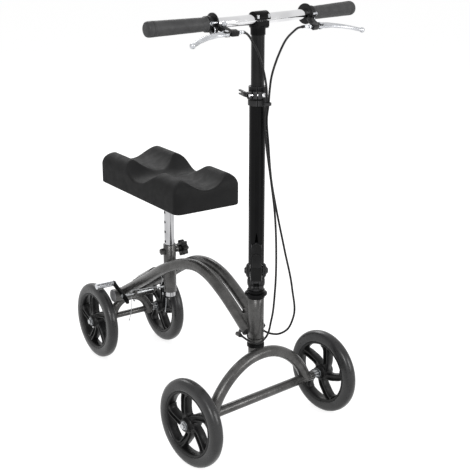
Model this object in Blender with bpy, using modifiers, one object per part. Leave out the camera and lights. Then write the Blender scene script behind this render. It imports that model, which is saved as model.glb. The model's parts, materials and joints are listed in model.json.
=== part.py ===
# Knee walker: a steered four-wheel frame that carries a kneeling pad on an adjustable post.
# A steering column folds above the front arch and carries the handlebar and two brake levers.
# Metres. +Z is up, +Y points to the rear and +X to the user's left side.
# The origin lies on the floor under the middle of the walker's overall length.

import math

import bmesh
import bpy
from mathutils import Vector

for old in list(bpy.data.objects):
    bpy.data.objects.remove(old, do_unlink=True)

# Clearances
GAP = 0.0003
SLIDE_GAP = 0.0003
RUN_GAP = 0.0004
WELD = 0.00001
PAST = 0.0010
THROUGH = 0.0400

# Steering geometry
STEER_ANGLE = math.radians(6.86)
FOLD_TURN = math.radians(-41.2)
FRONT_OFFSET = -0.0181
FRONT_TRACK = 0.4116
REAR_TRACK = 0.2026
REAR_AXLE_Y = 0.5992

# Wheels
WHEEL_RADIUS = 0.1016
TYRE_WIDTH = 0.0282
TREAD_WIDTH = 0.0150
SHOULDER = 0.0080
TYRE_DEPTH = 0.0256
RIM_RING = 0.0062
RIM_WIDTH = 0.0240
HUB_RADIUS = 0.0145
HUB_LENGTH = 0.0410
WHEEL_SIDES = 28
SPOKE_COUNT = 5
SPOKE_WIDTH = 0.0150
SPOKE_SWIRL = math.radians(-27.0)
SPOKE_START = math.radians(37.6)
BEARING_RADIUS = 0.0110
AXLE_RADIUS = 0.0040
AXLE_HEAD_RADIUS = 0.0080
AXLE_HEAD_HEIGHT = 0.0060
SPACER_RADIUS = 0.0095
WINDOW_ROOM = 0.0065
WINDOW_CORNER = 0.0050

# Front arch and axle tube
ARCH_RADIUS = 0.0133
ARCH_WALL = 0.0016
ARCH_CROWN = 0.2080
ARCH_INSET = 0.0210
ARCH_SHARES = ((0.0, 1.0), (0.2721, 0.9483), (0.5714, 0.7444), (0.8299, 0.4032), (1.0, 0.0))
FRONT_TUBE_RADIUS = 0.0111
FRONT_TUBE_WALL = 0.0020
FRONT_END_ROOM = 0.0378
FRONT_TUBE_LENGTH = FRONT_TRACK - 2 * FRONT_END_ROOM
PLUG_DEPTH = 0.0180

# Fold joint, whose height carries the steerer's top and the column
FOLD_HEIGHT = 0.4050
FOLD_DROP = 0.0213
FOLD_RISE = 0.0188
COLLAR_RADIUS = 0.0200
FOLD_BASE_HEIGHT = 0.0232

# Steerer, head tube and headset
STEERER_RADIUS = 0.0143
STEERER_WALL = 0.0025
STEERER_TOP = FOLD_HEIGHT - FOLD_DROP
STUB_RADIUS = 0.0170
STUB_BELOW = 0.0160
STUB_BOTTOM = ARCH_CROWN - STUB_BELOW
STUB_ABOVE = 0.0137
STUB_TOP = ARCH_CROWN + STUB_ABOVE
HEAD_RADIUS = 0.0185
HEAD_WALL = 0.0030
LOWER_CUP_RADIUS = 0.0190
LOWER_CUP_HEIGHT = 0.0110
UPPER_CUP_RADIUS = 0.0200
UPPER_CUP_HEIGHT = 0.0067
RACE_RADIUS = 0.0200
RACE_HEIGHT = 0.0097
LOCKNUT_RADIUS = 0.0250
LOCKNUT_HEIGHT = 0.0057
LOCKNUT_NECK = 0.0070
HEAD_BOTTOM = STUB_TOP + RACE_HEIGHT + LOWER_CUP_HEIGHT + 3 * GAP
HEAD_TOP = STEERER_TOP - FOLD_BASE_HEIGHT - LOCKNUT_NECK - LOCKNUT_HEIGHT - UPPER_CUP_HEIGHT - 2 * GAP

# Ears, pin and latch of the fold joint
EAR_FOOT = 0.0040
EAR_RADIUS = 0.0170
EAR_THICKNESS = 0.0080
KNUCKLE_RADIUS = 0.0150
KNUCKLE_WIDTH = 0.0270
KNUCKLE_NECK = 0.0136
KNUCKLE_PLUG = 0.0300
KNUCKLE_STEP = 0.0011
PIN_RADIUS = 0.0040
PIN_HEAD_RADIUS = 0.0085
PIN_HEAD_HEIGHT = 0.0045
LATCH_OUT = 0.0215
LATCH_PIVOT_DROP = 0.0330
LATCH_PIVOT_HEIGHT = FOLD_HEIGHT - LATCH_PIVOT_DROP
LATCH_WIDTH = 0.0240
LATCH_SKIN = 0.0030
LATCH_STAND = 0.0016
LATCH_RISE = 0.0700
LATCH_TOP = FOLD_HEIGHT + LATCH_RISE
LATCH_HINGE_RADIUS = 0.0050
LATCH_HINGE_WIDTH = 0.0120
LATCH_PIN_RADIUS = 0.0022
LATCH_LUG_THICKNESS = 0.0040
LATCH_LUG_RADIUS = 0.0045
LATCH_LUG_ROOT = (0.0160, 0.0015)
LATCH_LIP_START = 0.0530
LATCH_LIP_DEPTH = 0.0045
LATCH_LIP_THICKNESS = 0.0020
LATCH_RAISED = (0.0090, 0.0520, 0.0780)

# Column
LOWER_RADIUS = 0.0159
UPPER_RADIUS = 0.0143
UPPER_WALL = 0.0020
CLAMP_TOP = 0.8220
CLAMP_HEIGHT = 0.0410
CLAMP_BOTTOM = CLAMP_TOP - CLAMP_HEIGHT
CLAMP_LIP = 0.0130
CLAMP_NECK_RADIUS = 0.0190
CLAMP_LIP_RADIUS = 0.0205
CLAMP_EAR = (0.0100, 0.0060, 0.0160)
CLAMP_SLOT = 0.0020
CLAMP_BOLT_DROP = 0.0160
CLAMP_BOLT_HEIGHT = CLAMP_TOP - CLAMP_BOLT_DROP
CLAMP_BOLT_OUT = 0.0220
CLAMP_BOLT_RADIUS = 0.0025
CLAMP_NUT_RADIUS = 0.0050
CLAMP_NUT_HEIGHT = 0.0062
BARREL_RADIUS = 0.0030
LOWER_BOTTOM = FOLD_HEIGHT + FOLD_RISE
CLAMP_CAP = 0.0040
LOWER_TOP = CLAMP_TOP - CLAMP_CAP
UPPER_OVERLAP = 0.2180
UPPER_BOTTOM = LOWER_TOP - UPPER_OVERLAP
CAM_OFFSET = -0.0170
CAM_RADIUS = 0.0060
CAM_HEIGHT = 0.0150
CAM_ARM = ((-0.0030, 0.0020, 0), (-0.0100, 0.0120, 0), (-0.0145, 0.0240, 0), (-0.0210, 0.0400, 0))
CAM_ARM_HALF = 0.0024
CAM_ARM_HEIGHT = 0.0110
CAM_FORK = ((-0.0350, 0.0260, -0.0020), (-0.0100, 0.0460, 0.0020))
CAM_SLOT_HEIGHT = 0.0064
CAM_SLOT = ((0.0020, 0.0080), (-0.0040, 0.0005), (-0.0066, -0.0040), (-0.0050, -0.0110), (0.0050, -0.0110),
            (0.0130, 0.0))
GUIDE_BORE = 0.0064
GUIDE_WALL = 0.0016
GUIDE_HEIGHT = 0.0060
GUIDE_RISE = 0.0060
GUIDE_PLACE = (0.0245, -0.0125, CLAMP_BOTTOM + GUIDE_RISE)

# Handlebar and stem
BAR_HEIGHT = 0.9620
BAR_RADIUS = 0.0111
BAR_WALL = 0.0016
BAR_SWEEP = math.radians(4.9)
BAR_BEND = 0.0850
BAR_LENGTH = 0.2017
BAR_SHIFT = 0.0105
WIDTH_CENTRE = 0.0093
GRIP_CAP = 0.0021
GRIP_END = BAR_LENGTH + GRIP_CAP
GRIP_LENGTH = 0.1416
GRIP_START = GRIP_END - GRIP_LENGTH
GRIP_INNER_RADIUS = 0.0143
GRIP_OUTER_RADIUS = 0.0160
GRIP_ROUNDING = (0.0030, 0.0080)
GRIP_BULGE = 0.0300
GRIP_WAIST = 0.0100
STEM_SOCKET_RADIUS = 0.0170
STEM_SOCKET_DROP = 0.0320
STEM_SOCKET_BOTTOM = BAR_HEIGHT - STEM_SOCKET_DROP
STEM_DROP = 0.0180
STEM_BOTTOM = BAR_HEIGHT - STEM_DROP
STEM_RISE = 0.0170
STEM_TOP = BAR_HEIGHT + STEM_RISE
STEM_WIDTH = 0.0470
STEM_DEPTH = 0.0310
STEM_BEVEL = 0.0020
STEM_SPLIT = 0.0022
UPPER_DROP = 0.0145
UPPER_TOP = BAR_HEIGHT - UPPER_DROP

# Brake levers, in a plane tilted about the bar
LEVER_TILT_RIGHT = math.radians(18.0)
LEVER_TILT_LEFT = math.radians(26.0)
LEVER_CLAMP_ROOM = 0.0085
LEVER_CLAMP_ALONG = GRIP_START - LEVER_CLAMP_ROOM
LEVER_CLAMP_WIDTH = 0.0155
LEVER_CLAMP_RADIUS = 0.0155
FLANGE_RADIUS = 0.0224
FLANGE_THICKNESS = 0.0040
LEVER_PIVOT_INSET = 0.0087
LEVER_PIVOT_ALONG = LEVER_CLAMP_ALONG - LEVER_PIVOT_INSET
LEVER_PIVOT_OUT = 0.0484
LEVER_THICKNESS = 0.0070
LEVER_REACH = 0.1101
LEVER_ANGLE = math.radians(19.5)
LEVER_EYE = 0.0080
LEVER_SWING_ROOM = 0.0032
LEVER_BALL = 0.0060
LEVER_BALL_HEIGHT = 0.0110
LEVER_GRIP_EDGE = ((0.0150, -0.0056), (0.0460, 0.0030), (0.0850, 0.0205))
LEVER_FRONT_EDGE = ((0.0800, 0.0285), (0.0430, 0.0142), (0.0150, 0.0092))
LEVER_PIN_RADIUS = 0.0022
BRACKET_THICKNESS = 0.0130
BRACKET_WALL = 0.0040
BRACKET_ROOT = 0.0140
BOSS_SEAT = 0.0030
ADJUSTER_SEAT = 0.0020
RIVET_HEIGHT = 0.0008
ADJUSTER_RADIUS = 0.0040
ADJUSTER_LENGTH = 0.0190
ADJUSTER_INSET = 0.0292
ADJUSTER_ALONG = LEVER_PIVOT_ALONG - ADJUSTER_INSET
BUTTON_RADIUS = 0.0055
BUTTON_STEM = 0.0024
BUTTON_TRAVEL = 0.0030
BUTTON_CAP_HEIGHT = 0.0044
BUTTON_INSET = 0.0167
BUTTON_ALONG = LEVER_CLAMP_ALONG - BUTTON_INSET
BUTTON_OUT = 0.0250

# Main frame
SEAT_Y = 0.3807
TUBE_RADIUS = 0.0135
TUBE_WALL = 0.0020
TUBE_SIDES = 10
TUBE_NOSE_X = 0.0175
BEAM_AHEAD = 0.0172
BEAM_Y = REAR_AXLE_Y - BEAM_AHEAD
BEAM_ABOVE = 0.0664
BEAM_HEIGHT = WHEEL_RADIUS + BEAM_ABOVE
REAR_RUN = BEAM_Y - SEAT_Y
NOSE_RISE = 0.0157
TUBE_END_RISE = 0.0058
TUBE_BEND = (SEAT_Y + 0.34426 * REAR_RUN, 0.2510)
TUBE_END = (BEAM_Y, BEAM_HEIGHT + TUBE_END_RISE)
TUBE_ROUTE = (
    (0.006, HEAD_BOTTOM + NOSE_RISE), (0.060, 0.2930), (0.118, 0.3250), (0.170, 0.3452), (0.220, 0.3515),
    (0.275, 0.3430), (0.350, 0.3110), TUBE_BEND, TUBE_END,
)
TUBE_SPREAD_START = 0.230
NOSE_START = 0.0100
GUSSET_LENGTH = 0.0300
GUSSET_THICKNESS = 0.0030
BRIDGE_START = SEAT_Y + 0.3440 * REAR_RUN
BRIDGE_LENGTH = 0.3477 * REAR_RUN
BRIDGE_RISE = 0.011
BRIDGE_THICKNESS = 0.0025
BRIDGE_SEAT = 0.0006
BEAM_RADIUS = 0.01725
BEAM_WALL = 0.0020
BEAM_LENGTH = 0.1200
REAR_TUBE_RADIUS = 0.0080
REAR_END_ROOM = 0.0333
REAR_TUBE_LENGTH = REAR_TRACK - 2 * REAR_END_ROOM
REAR_ARCH_RADIUS = 0.0111
REAR_ARCH_WALL = 0.0018
REAR_ARCH_INSET = 0.0129
REAR_ARCH_SPAN = REAR_TUBE_LENGTH - 2 * REAR_ARCH_INSET
REAR_ARCH_SEAT = 0.0189
REAR_ARCH_CENTRE = BEAM_HEIGHT - REAR_ARCH_SEAT - REAR_ARCH_SPAN / 2
REAR_ARCH_LEG = 0.0040

# Seat
SLEEVE_RADIUS = 0.0159
SLEEVE_BOTTOM = 0.2340
SLEEVE_TOP = 0.3610
POST_RADIUS = 0.0127
POST_WALL = 0.0020
PAD_BOTTOM = 0.4963
PAD_HALF_WIDTH = 0.0905
PAD_LENGTH = 0.3765
PAD_AHEAD = 0.1865
PAD_CREST_HEIGHT = 0.0782
PAD_CREST_X = 0.0570
PAD_CRADLE_HEIGHT = 0.0487
PAD_TROUGH_HEIGHT = 0.0407
PAD_TROUGH_FRONT = 0.0830
PAD_TROUGH_REAR = 0.0680
PAD_FRONT_POWER = 2.0
PAD_REAR_POWER = 2.4
PAD_ROUND = 0.0320
PAD_CORNER = 0.0160
PAD_FOOT = 0.0040
POST_STUB = 0.0120
POST_BOTTOM = SLEEVE_BOTTOM - POST_STUB
POST_DROP = 0.0053
POST_TOP = PAD_BOTTOM - POST_DROP
POST_HOLE_RADIUS = 0.0035
POST_HOLE_PITCH = 0.0254
POST_HOLE_DROP = 0.0503
POST_HOLE_TOP = PAD_BOTTOM - POST_HOLE_DROP
POST_HOLE_COUNT = 5
SEAT_PLATE_THICKNESS = 0.0045
SEAT_PLATE_HALF = (0.0420, 0.0950)
SEAT_SOCKET_RADIUS = 0.0170
SEAT_SOCKET_DEPTH = 0.0130
KNOB_DROP = 0.0170
KNOB_HEIGHT = SLEEVE_TOP - KNOB_DROP
KNOB_RADIUS = 0.0175
KNOB_LOBE = 0.0030
KNOB_LOBES = 7
KNOB_STUD_RADIUS = 0.0040
KNOB_NECK_RADIUS = 0.0090
KNOB_NECK = 0.0060
KNOB_THICKNESS = 0.0160
KNOB_CAP = 0.0040
KNOB_RIM = 0.0020
BOSS_RADIUS = 0.0080
BOSS_OUT = 0.0237
NUT_OUT = 0.0260

# Rear brakes
BRAKE_BAR_RADIUS = 0.0080
BRAKE_CLEARANCE = 0.0031
BRAKE_LEAN = math.radians(15.81)
BRAKE_REACH = WHEEL_RADIUS + BRAKE_BAR_RADIUS + BRAKE_CLEARANCE
BRAKE_PIVOT_SHARE = 0.51515
BRAKE_PIVOT_DROP = 0.02257
BRAKE_PIVOT = (TUBE_END[0] + BRAKE_PIVOT_SHARE * (TUBE_BEND[0] - TUBE_END[0]),
               TUBE_END[1] + BRAKE_PIVOT_SHARE * (TUBE_BEND[1] - TUBE_END[1]) - BRAKE_PIVOT_DROP)
BRAKE_ROLLER = (REAR_AXLE_Y - BRAKE_REACH * math.sin(BRAKE_LEAN),
                WHEEL_RADIUS + BRAKE_REACH * math.cos(BRAKE_LEAN))
BRAKE_TAIL = (-0.0200, -0.0100)
BRAKE_ARM_INSET = 0.0363
BRAKE_ARM_X = REAR_TRACK / 2 - BRAKE_ARM_INSET
BRAKE_ARM_THICKNESS = 0.0040
BRAKE_ARM_HEIGHT = 0.0120
BRAKE_SCREW_RADIUS = 0.0030
BRAKE_SCREW_DEPTH = 0.0080
BRAKE_BAR_LENGTH = 0.0490
BRAKE_PIN_RADIUS = 0.0025
BRAKE_NUT_RADIUS = 0.0050
BRAKE_NUT_HEIGHT = 0.0040
LUG_THICKNESS = 0.0060
LUG_RADIUS = 0.0065
ANCHOR_INSET = 0.0195
ANCHOR_X = BRAKE_ARM_X - ANCHOR_INSET
ANCHOR_LOW = (-0.026, -0.023)
ANCHOR_HIGH = (-0.013, 0.003)
WIRE_INSET = 0.0120
WIRE_X = BRAKE_ARM_X - WIRE_INSET
WIRE_HOLE = 0.0016

# Brake cables
CABLE_RADIUS = 0.0025
CABLE_CLAMP_DROP = 0.0110
CABLE_CLAMP_HEIGHT = CLAMP_TOP - CABLE_CLAMP_DROP
STOP_RADIUS = 0.0050
STOP_RISE = 0.0042
STOP_PLACE = (0.0300, 0.0180, HEAD_BOTTOM + STOP_RISE)
STOP_LENGTH = 0.0140
STALK_RADIUS = 0.0035

# Finishes: colour, roughness, metallic
FRAME_PAINT = ((0.085, 0.088, 0.095), 0.42, 0.55)
BLACK_PAINT = ((0.012, 0.012, 0.013), 0.35, 0.2)
BLACK_PLASTIC = ((0.016, 0.016, 0.017), 0.45, 0.0)
RUBBER = ((0.020, 0.020, 0.021), 0.75, 0.0)
GRIP_RUBBER = ((0.030, 0.031, 0.034), 0.80, 0.0)
PAD_SKIN = ((0.018, 0.018, 0.019), 0.65, 0.0)
CHROME = ((0.72, 0.73, 0.75), 0.12, 1.0)
STEEL = ((0.50, 0.51, 0.53), 0.30, 1.0)
ALLOY = ((0.62, 0.63, 0.65), 0.28, 1.0)

PARTS = bpy.data.collections.new("knee_walker")
TOOLS = bpy.data.collections.new("cutters")
bpy.context.scene.collection.children.link(PARTS)
bpy.context.scene.collection.children.link(TOOLS)


# Helpers that place things

def empty(name, frame=None, location=(0, 0, 0), rotation=(0, 0, 0)):
    """Add an empty that stands for a frame or a joint's axis."""
    marker = bpy.data.objects.new(name, None)
    marker.empty_display_size = 0.02
    TOOLS.objects.link(marker)
    marker.parent = frame
    marker.location = location
    marker.rotation_euler = rotation
    return marker


def shape(data, frame, location=(0, 0, 0), rotation=(0, 0, 0)):
    """Add a guide shape, which stays a cutter until part() makes it a piece."""
    obj = bpy.data.objects.new("shape", data)
    TOOLS.objects.link(obj)
    obj.hide_render = True
    obj.display_type = "WIRE"
    obj.parent = frame
    obj.location = location
    obj.rotation_euler = rotation
    return obj


def along(start, end):
    """Rotation that turns +Z onto the direction from start to end."""
    return (Vector(end) - Vector(start)).to_track_quat("Z", "Y").to_euler()


def combined(base, join=(), cut=()):
    """Join other shapes to a shape, then cut others from it."""
    for operation, tools in (("UNION", join), ("DIFFERENCE", cut)):
        for tool in tools:
            modifier = base.modifiers.new(operation.lower(), "BOOLEAN")
            modifier.operation = operation
            modifier.solver = "EXACT"
            modifier.object = tool
    return base


def part(name, look, base, join=(), cut=()):
    """Make a shape a named piece, joined to and cut by other shapes."""
    combined(base, join, cut)
    base.name = name
    base.hide_render = False
    base.display_type = "TEXTURED"
    TOOLS.objects.unlink(base)
    PARTS.objects.link(base)
    colour, roughness, metallic = look
    material = bpy.data.materials.new(name)
    material.use_nodes = True
    shader = material.node_tree.nodes["Principled BSDF"]
    shader.inputs["Base Color"].default_value = (*colour, 1.0)
    shader.inputs["Roughness"].default_value = roughness
    shader.inputs["Metallic"].default_value = metallic
    base.data.materials.clear()
    base.data.materials.append(material)
    return base


# Helpers that make shapes

def smooth(mesh, angle=40.0):
    mesh.shade_smooth()
    mesh.set_sharp_from_angle(angle=math.radians(angle))


def mesh_from(bm):
    mesh = bpy.data.meshes.new("shape")
    bm.to_mesh(mesh)
    bm.free()
    smooth(mesh)
    return mesh


def box(frame, low, high, bevel=0.0):
    """A box between two corners, with a small bevel if asked."""
    low, high = Vector(low), Vector(high)
    bm = bmesh.new()
    bmesh.ops.create_cube(bm, size=1.0)
    bmesh.ops.scale(bm, vec=high - low, verts=bm.verts)
    obj = shape(mesh_from(bm), frame, (low + high) / 2)
    if bevel:
        rounded(obj, bevel)
    return obj


def rounded(obj, width, segments=1):
    """Round the sharp edges of a mesh."""
    modifier = obj.modifiers.new("bevel", "BEVEL")
    modifier.width = width
    modifier.segments = segments
    modifier.limit_method = "ANGLE"
    modifier.angle_limit = math.radians(50)
    return obj


def cylinder(frame, start, end, radius, sides=16):
    """A solid cylinder or cone between two points."""
    bm = bmesh.new()
    bmesh.ops.create_cone(
        bm, cap_ends=True, segments=sides, radius1=radius, radius2=radius,
        depth=(Vector(end) - Vector(start)).length)
    middle = (Vector(start) + Vector(end)) / 2
    return shape(mesh_from(bm), frame, middle, along(start, end))


def turned(frame, profile, location=(0, 0, 0), rotation=(0, 0, 0), sides=16, ring=False):
    """A turned shape from (radius, height) points that run down its outer side."""
    mesh = bpy.data.meshes.new("profile")
    edges = [(i, i + 1) for i in range(len(profile) - 1)]
    if ring:
        edges.append((len(profile) - 1, 0))
    mesh.from_pydata([(radius, 0, height) for radius, height in profile], edges, [])
    obj = shape(mesh, frame, location, rotation)
    screw = obj.modifiers.new("turn", "SCREW")
    screw.steps = sides
    screw.render_steps = sides
    screw.use_merge_vertices = True
    screw.merge_threshold = WELD
    return obj


def pipe(frame, start, end, radius, bore, sides=16):
    """A straight open tube between two points."""
    length = (Vector(end) - Vector(start)).length
    profile = [(radius, length), (radius, 0), (bore, 0), (bore, length)]
    return turned(frame, profile, start, along(start, end), sides, ring=True)


def baked(obj):
    """Replace a curve, or a shape with modifiers, by its plain mesh."""
    bpy.context.view_layer.update()
    depsgraph = bpy.context.evaluated_depsgraph_get()
    mesh = bpy.data.meshes.new_from_object(obj.evaluated_get(depsgraph))
    bm = bmesh.new()
    bm.from_mesh(mesh)
    bmesh.ops.remove_doubles(bm, verts=bm.verts, dist=WELD)
    bm.to_mesh(mesh)
    bm.free()
    smooth(mesh)
    copy = shape(mesh, obj.parent)
    copy.matrix_world = obj.matrix_world
    bpy.data.objects.remove(obj, do_unlink=True)
    return copy


def curve_data(splines, cyclic=False):
    """A curve with one straight-line spline for each list of points."""
    data = bpy.data.curves.new("route", "CURVE")
    for points in splines:
        spline = data.splines.new("POLY")
        spline.points.add(len(points) - 1)
        for target, point in zip(spline.points, points):
            target.co = (*Vector(point).to_3d(), 1.0)
        spline.use_cyclic_u = cyclic
        spline.use_smooth = True
    return data


def rod(frame, points, radius, sides=12, wall=None):
    """A bent bar, or an open bent tube where a wall is given."""
    data = curve_data([points])
    data.dimensions = "3D"
    data.bevel_depth = radius
    data.bevel_resolution = (sides - 4) // 2
    data.use_fill_caps = wall is None
    obj = baked(shape(data, frame))
    if wall is not None:
        shell = obj.modifiers.new("wall", "SOLIDIFY")
        shell.thickness = wall
        shell.offset = -1.0
        shell.use_even_offset = True
    return obj


def plate(frame, outline, thickness, location=(0, 0, 0), rotation=(0, 0, 0), holes=()):
    """A flat outline in its own XY plane, given a thickness about that plane."""
    data = curve_data([outline, *holes], cyclic=True)
    data.dimensions = "2D"
    data.fill_mode = "BOTH"
    data.extrude = thickness / 2
    return baked(shape(data, frame, location, rotation))


# Helpers that make outlines and routes

SIDEWAYS = (math.radians(90), 0, math.radians(90))
TO_X = (0, math.radians(90), 0)


def arc(centre, radius, first, last, count):
    """Points on an arc, angles in degrees, both ends included."""
    steps = [math.radians(first + (last - first) * i / (count - 1)) for i in range(count)]
    return [(centre[0] + radius * math.cos(a), centre[1] + radius * math.sin(a)) for a in steps]


def circle(centre, radius, count):
    return arc(centre, radius, 0, 360, count + 1)[:-1]


def capsule(first, second, radius, count=6):
    """Outline of a link with a round end at each of two points."""
    heading = math.degrees(math.atan2(second[1] - first[1], second[0] - first[0]))
    far = arc(second, radius, heading - 90, heading + 90, count)
    near = arc(first, radius, heading + 90, heading + 270, count)
    return far + near


def smooth_route(points, per_span):
    """A smooth curve through the route's own points, with tangents weighted by the spans' lengths."""
    points = [Vector(p) for p in points]
    spans = [(b - a).length for a, b in zip(points, points[1:])]
    slopes = [(b - a) / h for a, b, h in zip(points, points[1:], spans)]
    middle = [(g * d + h * c) / (g + h) for c, d, h, g in zip(slopes, slopes[1:], spans[1:], spans)]
    tangents = [slopes[0], *middle, slopes[-1]]
    route = []
    for a, b, m, n, h in zip(points, points[1:], tangents, tangents[1:], spans):
        for i in range(per_span):
            t = i / per_span
            bend = (1 - t) * m - t * n
            ease = t * t * (3 - 2 * t)
            route.append(a + (b - a) * ease + bend * h * t * (1 - t))
    route.append(points[-1])
    return route


def blend(low, high, value):
    """Smooth step from 0 at low to 1 at high."""
    share = min(max((value - low) / (high - low), 0.0), 1.0)
    return share * share * (3 - 2 * share)


# Frames and joint axes

FRONT_REACH = (FRONT_TRACK / 2 * math.sin(STEER_ANGLE)
               + (WHEEL_RADIUS - FRONT_OFFSET) * math.cos(STEER_ANGLE)
               + TREAD_WIDTH / 2 * math.sin(STEER_ANGLE))
REAR_REACH = REAR_AXLE_Y + WHEEL_RADIUS

FRAME = empty("frame", None, (-WIDTH_CENTRE, (FRONT_REACH - REAR_REACH) / 2, 0))
STEERING = empty("steering_axis", FRAME, (0, 0, 0), (0, 0, STEER_ANGLE))
FOLD_SEAT = empty("fold_seat", STEERING, (0, 0, FOLD_HEIGHT), (0, 0, FOLD_TURN))
FOLD = empty("fold_axis", STEERING, (0, 0, FOLD_HEIGHT), (0, 0, FOLD_TURN))
LATCH = empty("latch_axis", FOLD_SEAT, (0, -LATCH_OUT, LATCH_PIVOT_HEIGHT - FOLD_HEIGHT))
COLUMN = empty("column", FOLD, (0, 0, -FOLD_HEIGHT))
CLAMP = empty("clamp_axis", COLUMN, (CAM_OFFSET, -CLAMP_BOLT_OUT, CLAMP_BOLT_HEIGHT))
HANDLEBAR = empty("handlebar", COLUMN, (0, 0, 0), (0, 0, -FOLD_TURN))
SEAT = empty("seat", FRAME, (0, SEAT_Y, 0))
KNOB = empty("knob_axis", FRAME, (0, SEAT_Y, KNOB_HEIGHT), TO_X)


def sided(side):
    return "left" if side > 0 else "right"


def bar_frame(side):
    """Frame at a bend of the handlebar: X runs out along the swept end, on the left side."""
    name = "bar_" + sided(side)
    return empty(name, HANDLEBAR, (BAR_SHIFT + side * BAR_BEND, 0, BAR_HEIGHT), (0, 0, side * BAR_SWEEP))


BAR_ENDS = {side: bar_frame(side) for side in (-1, 1)}
LEVER_TILTS = {-1: LEVER_TILT_RIGHT, 1: LEVER_TILT_LEFT}
LEVER_PLANES = {
    side: empty("lever_plane_" + sided(side), BAR_ENDS[side], (0, 0, 0), (LEVER_TILTS[side], 0, 0))
    for side in (-1, 1)}
LEVERS = {
    side: empty("lever_axis_" + sided(side), LEVER_PLANES[side],
                (side * LEVER_PIVOT_ALONG, -LEVER_PIVOT_OUT, 0))
    for side in (-1, 1)}
BRAKES = {side: empty("brake_axis_" + sided(side), FRAME, (0, *BRAKE_PIVOT)) for side in (-1, 1)}


# Wheels

RIM_RADIUS = WHEEL_RADIUS - TYRE_DEPTH
WINDOW_OUTER = RIM_RADIUS - RIM_RING
WINDOW_INNER = HUB_RADIUS + WINDOW_ROOM
FACET_TURN = math.pi / WHEEL_SIDES
TREAD_RADIUS = WHEEL_RADIUS / math.cos(FACET_TURN)


def spoke_angle(radius):
    """Angle of a spoke's middle at a radius: it sweeps back as it runs out."""
    share = (radius - HUB_RADIUS) / (RIM_RADIUS - HUB_RADIUS)
    return SPOKE_START - SPOKE_SWIRL / 2 + SPOKE_SWIRL * share


def window_outline(index, side):
    """Opening between two spokes, seen along the axle from the wheel's outer face."""
    first = 2 * math.pi * index / SPOKE_COUNT
    last = first + 2 * math.pi / SPOKE_COUNT
    radii = [WINDOW_INNER + WINDOW_CORNER * 0.5, 0.5 * (WINDOW_INNER + WINDOW_OUTER),
             WINDOW_OUTER - WINDOW_CORNER * 0.8]
    rising = [(r, first + spoke_angle(r) + math.asin(SPOKE_WIDTH / 2 / r)) for r in radii]
    falling = [(r, last + spoke_angle(r) - math.asin(SPOKE_WIDTH / 2 / r)) for r in radii]
    top_first = rising[-1][1] + WINDOW_CORNER / WINDOW_OUTER
    top_last = falling[-1][1] - WINDOW_CORNER / WINDOW_OUTER
    top = [(WINDOW_OUTER, top_first + (top_last - top_first) * i / 2) for i in range(3)]
    middle = (rising[0][1] + falling[0][1]) / 2
    outline = [(WINDOW_INNER, middle), *falling, *reversed(top), *reversed(rising)]
    level = [(r, a - side * FACET_TURN) for r, a in outline]
    return [(side * r * math.cos(a), r * math.sin(a)) for r, a in level]


def wheel(place, side, frame, centre):
    """One wheel on the X axis: a tyre on a spoked rim, whose bored hub takes a bearing sleeve."""
    axle = empty(place + "_axle", frame, centre, (FACET_TURN, 0, 0))
    half = TYRE_WIDTH / 2
    tread = TREAD_WIDTH / 2
    tyre = [
        (TREAD_RADIUS, tread), (TREAD_RADIUS, -tread), (WHEEL_RADIUS - SHOULDER, -half),
        (RIM_RADIUS + GAP, -half), (RIM_RADIUS + GAP, half), (WHEEL_RADIUS - SHOULDER, half),
    ]
    part("tyre_" + place, RUBBER, turned(axle, tyre, rotation=TO_X, sides=WHEEL_SIDES, ring=True))
    windows = [window_outline(i, side) for i in range(SPOKE_COUNT)]
    disc = plate(axle, circle((0, 0), RIM_RADIUS, WHEEL_SIDES), RIM_WIDTH, rotation=SIDEWAYS,
                 holes=[circle((0, 0), BEARING_RADIUS + 0.001, 10), *windows])
    reach = HUB_LENGTH / 2
    bore = BEARING_RADIUS + GAP
    hub = pipe(axle, (-reach, 0, 0), (reach, 0, 0), HUB_RADIUS, bore, 12)
    part("rim_" + place, BLACK_PLASTIC, disc, join=(hub,))
    part("wheel_bearing_" + place, STEEL,
         pipe(axle, (-reach, 0, 0), (reach, 0, 0), BEARING_RADIUS, AXLE_RADIUS + RUN_GAP, 12))


for end in (-1, 1):
    wheel("front_" + sided(end), end, STEERING, (end * FRONT_TRACK / 2, FRONT_OFFSET, WHEEL_RADIUS))
    wheel("rear_" + sided(end), end, FRAME, (end * REAR_TRACK / 2, REAR_AXLE_Y, WHEEL_RADIUS))


# Front fork: arch, axle tube and axle hardware

def mirrored_route(half):
    """A route from the far right leg over the crown to the far left leg."""
    return [(-x, FRONT_OFFSET, z) for x, z in reversed(half[1:])] + [(x, FRONT_OFFSET, z) for x, z in half]


def axle_end(start, shoulder, track):
    """Profile of an axle's outer end: head, shaft through the hub and shoulder against the frame."""
    hub_in = track / 2 - HUB_LENGTH / 2
    hub_out = track / 2 + HUB_LENGTH / 2 + GAP
    head = hub_out + AXLE_HEAD_HEIGHT
    return [(0, head), (AXLE_HEAD_RADIUS * 0.8, head), (AXLE_HEAD_RADIUS, head - AXLE_HEAD_HEIGHT * 0.4),
            (AXLE_HEAD_RADIUS, hub_out), (AXLE_RADIUS, hub_out), (AXLE_RADIUS, hub_in - GAP),
            (SPACER_RADIUS, hub_in - GAP), (SPACER_RADIUS, shoulder + GAP), (start, shoulder + GAP)]


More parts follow.
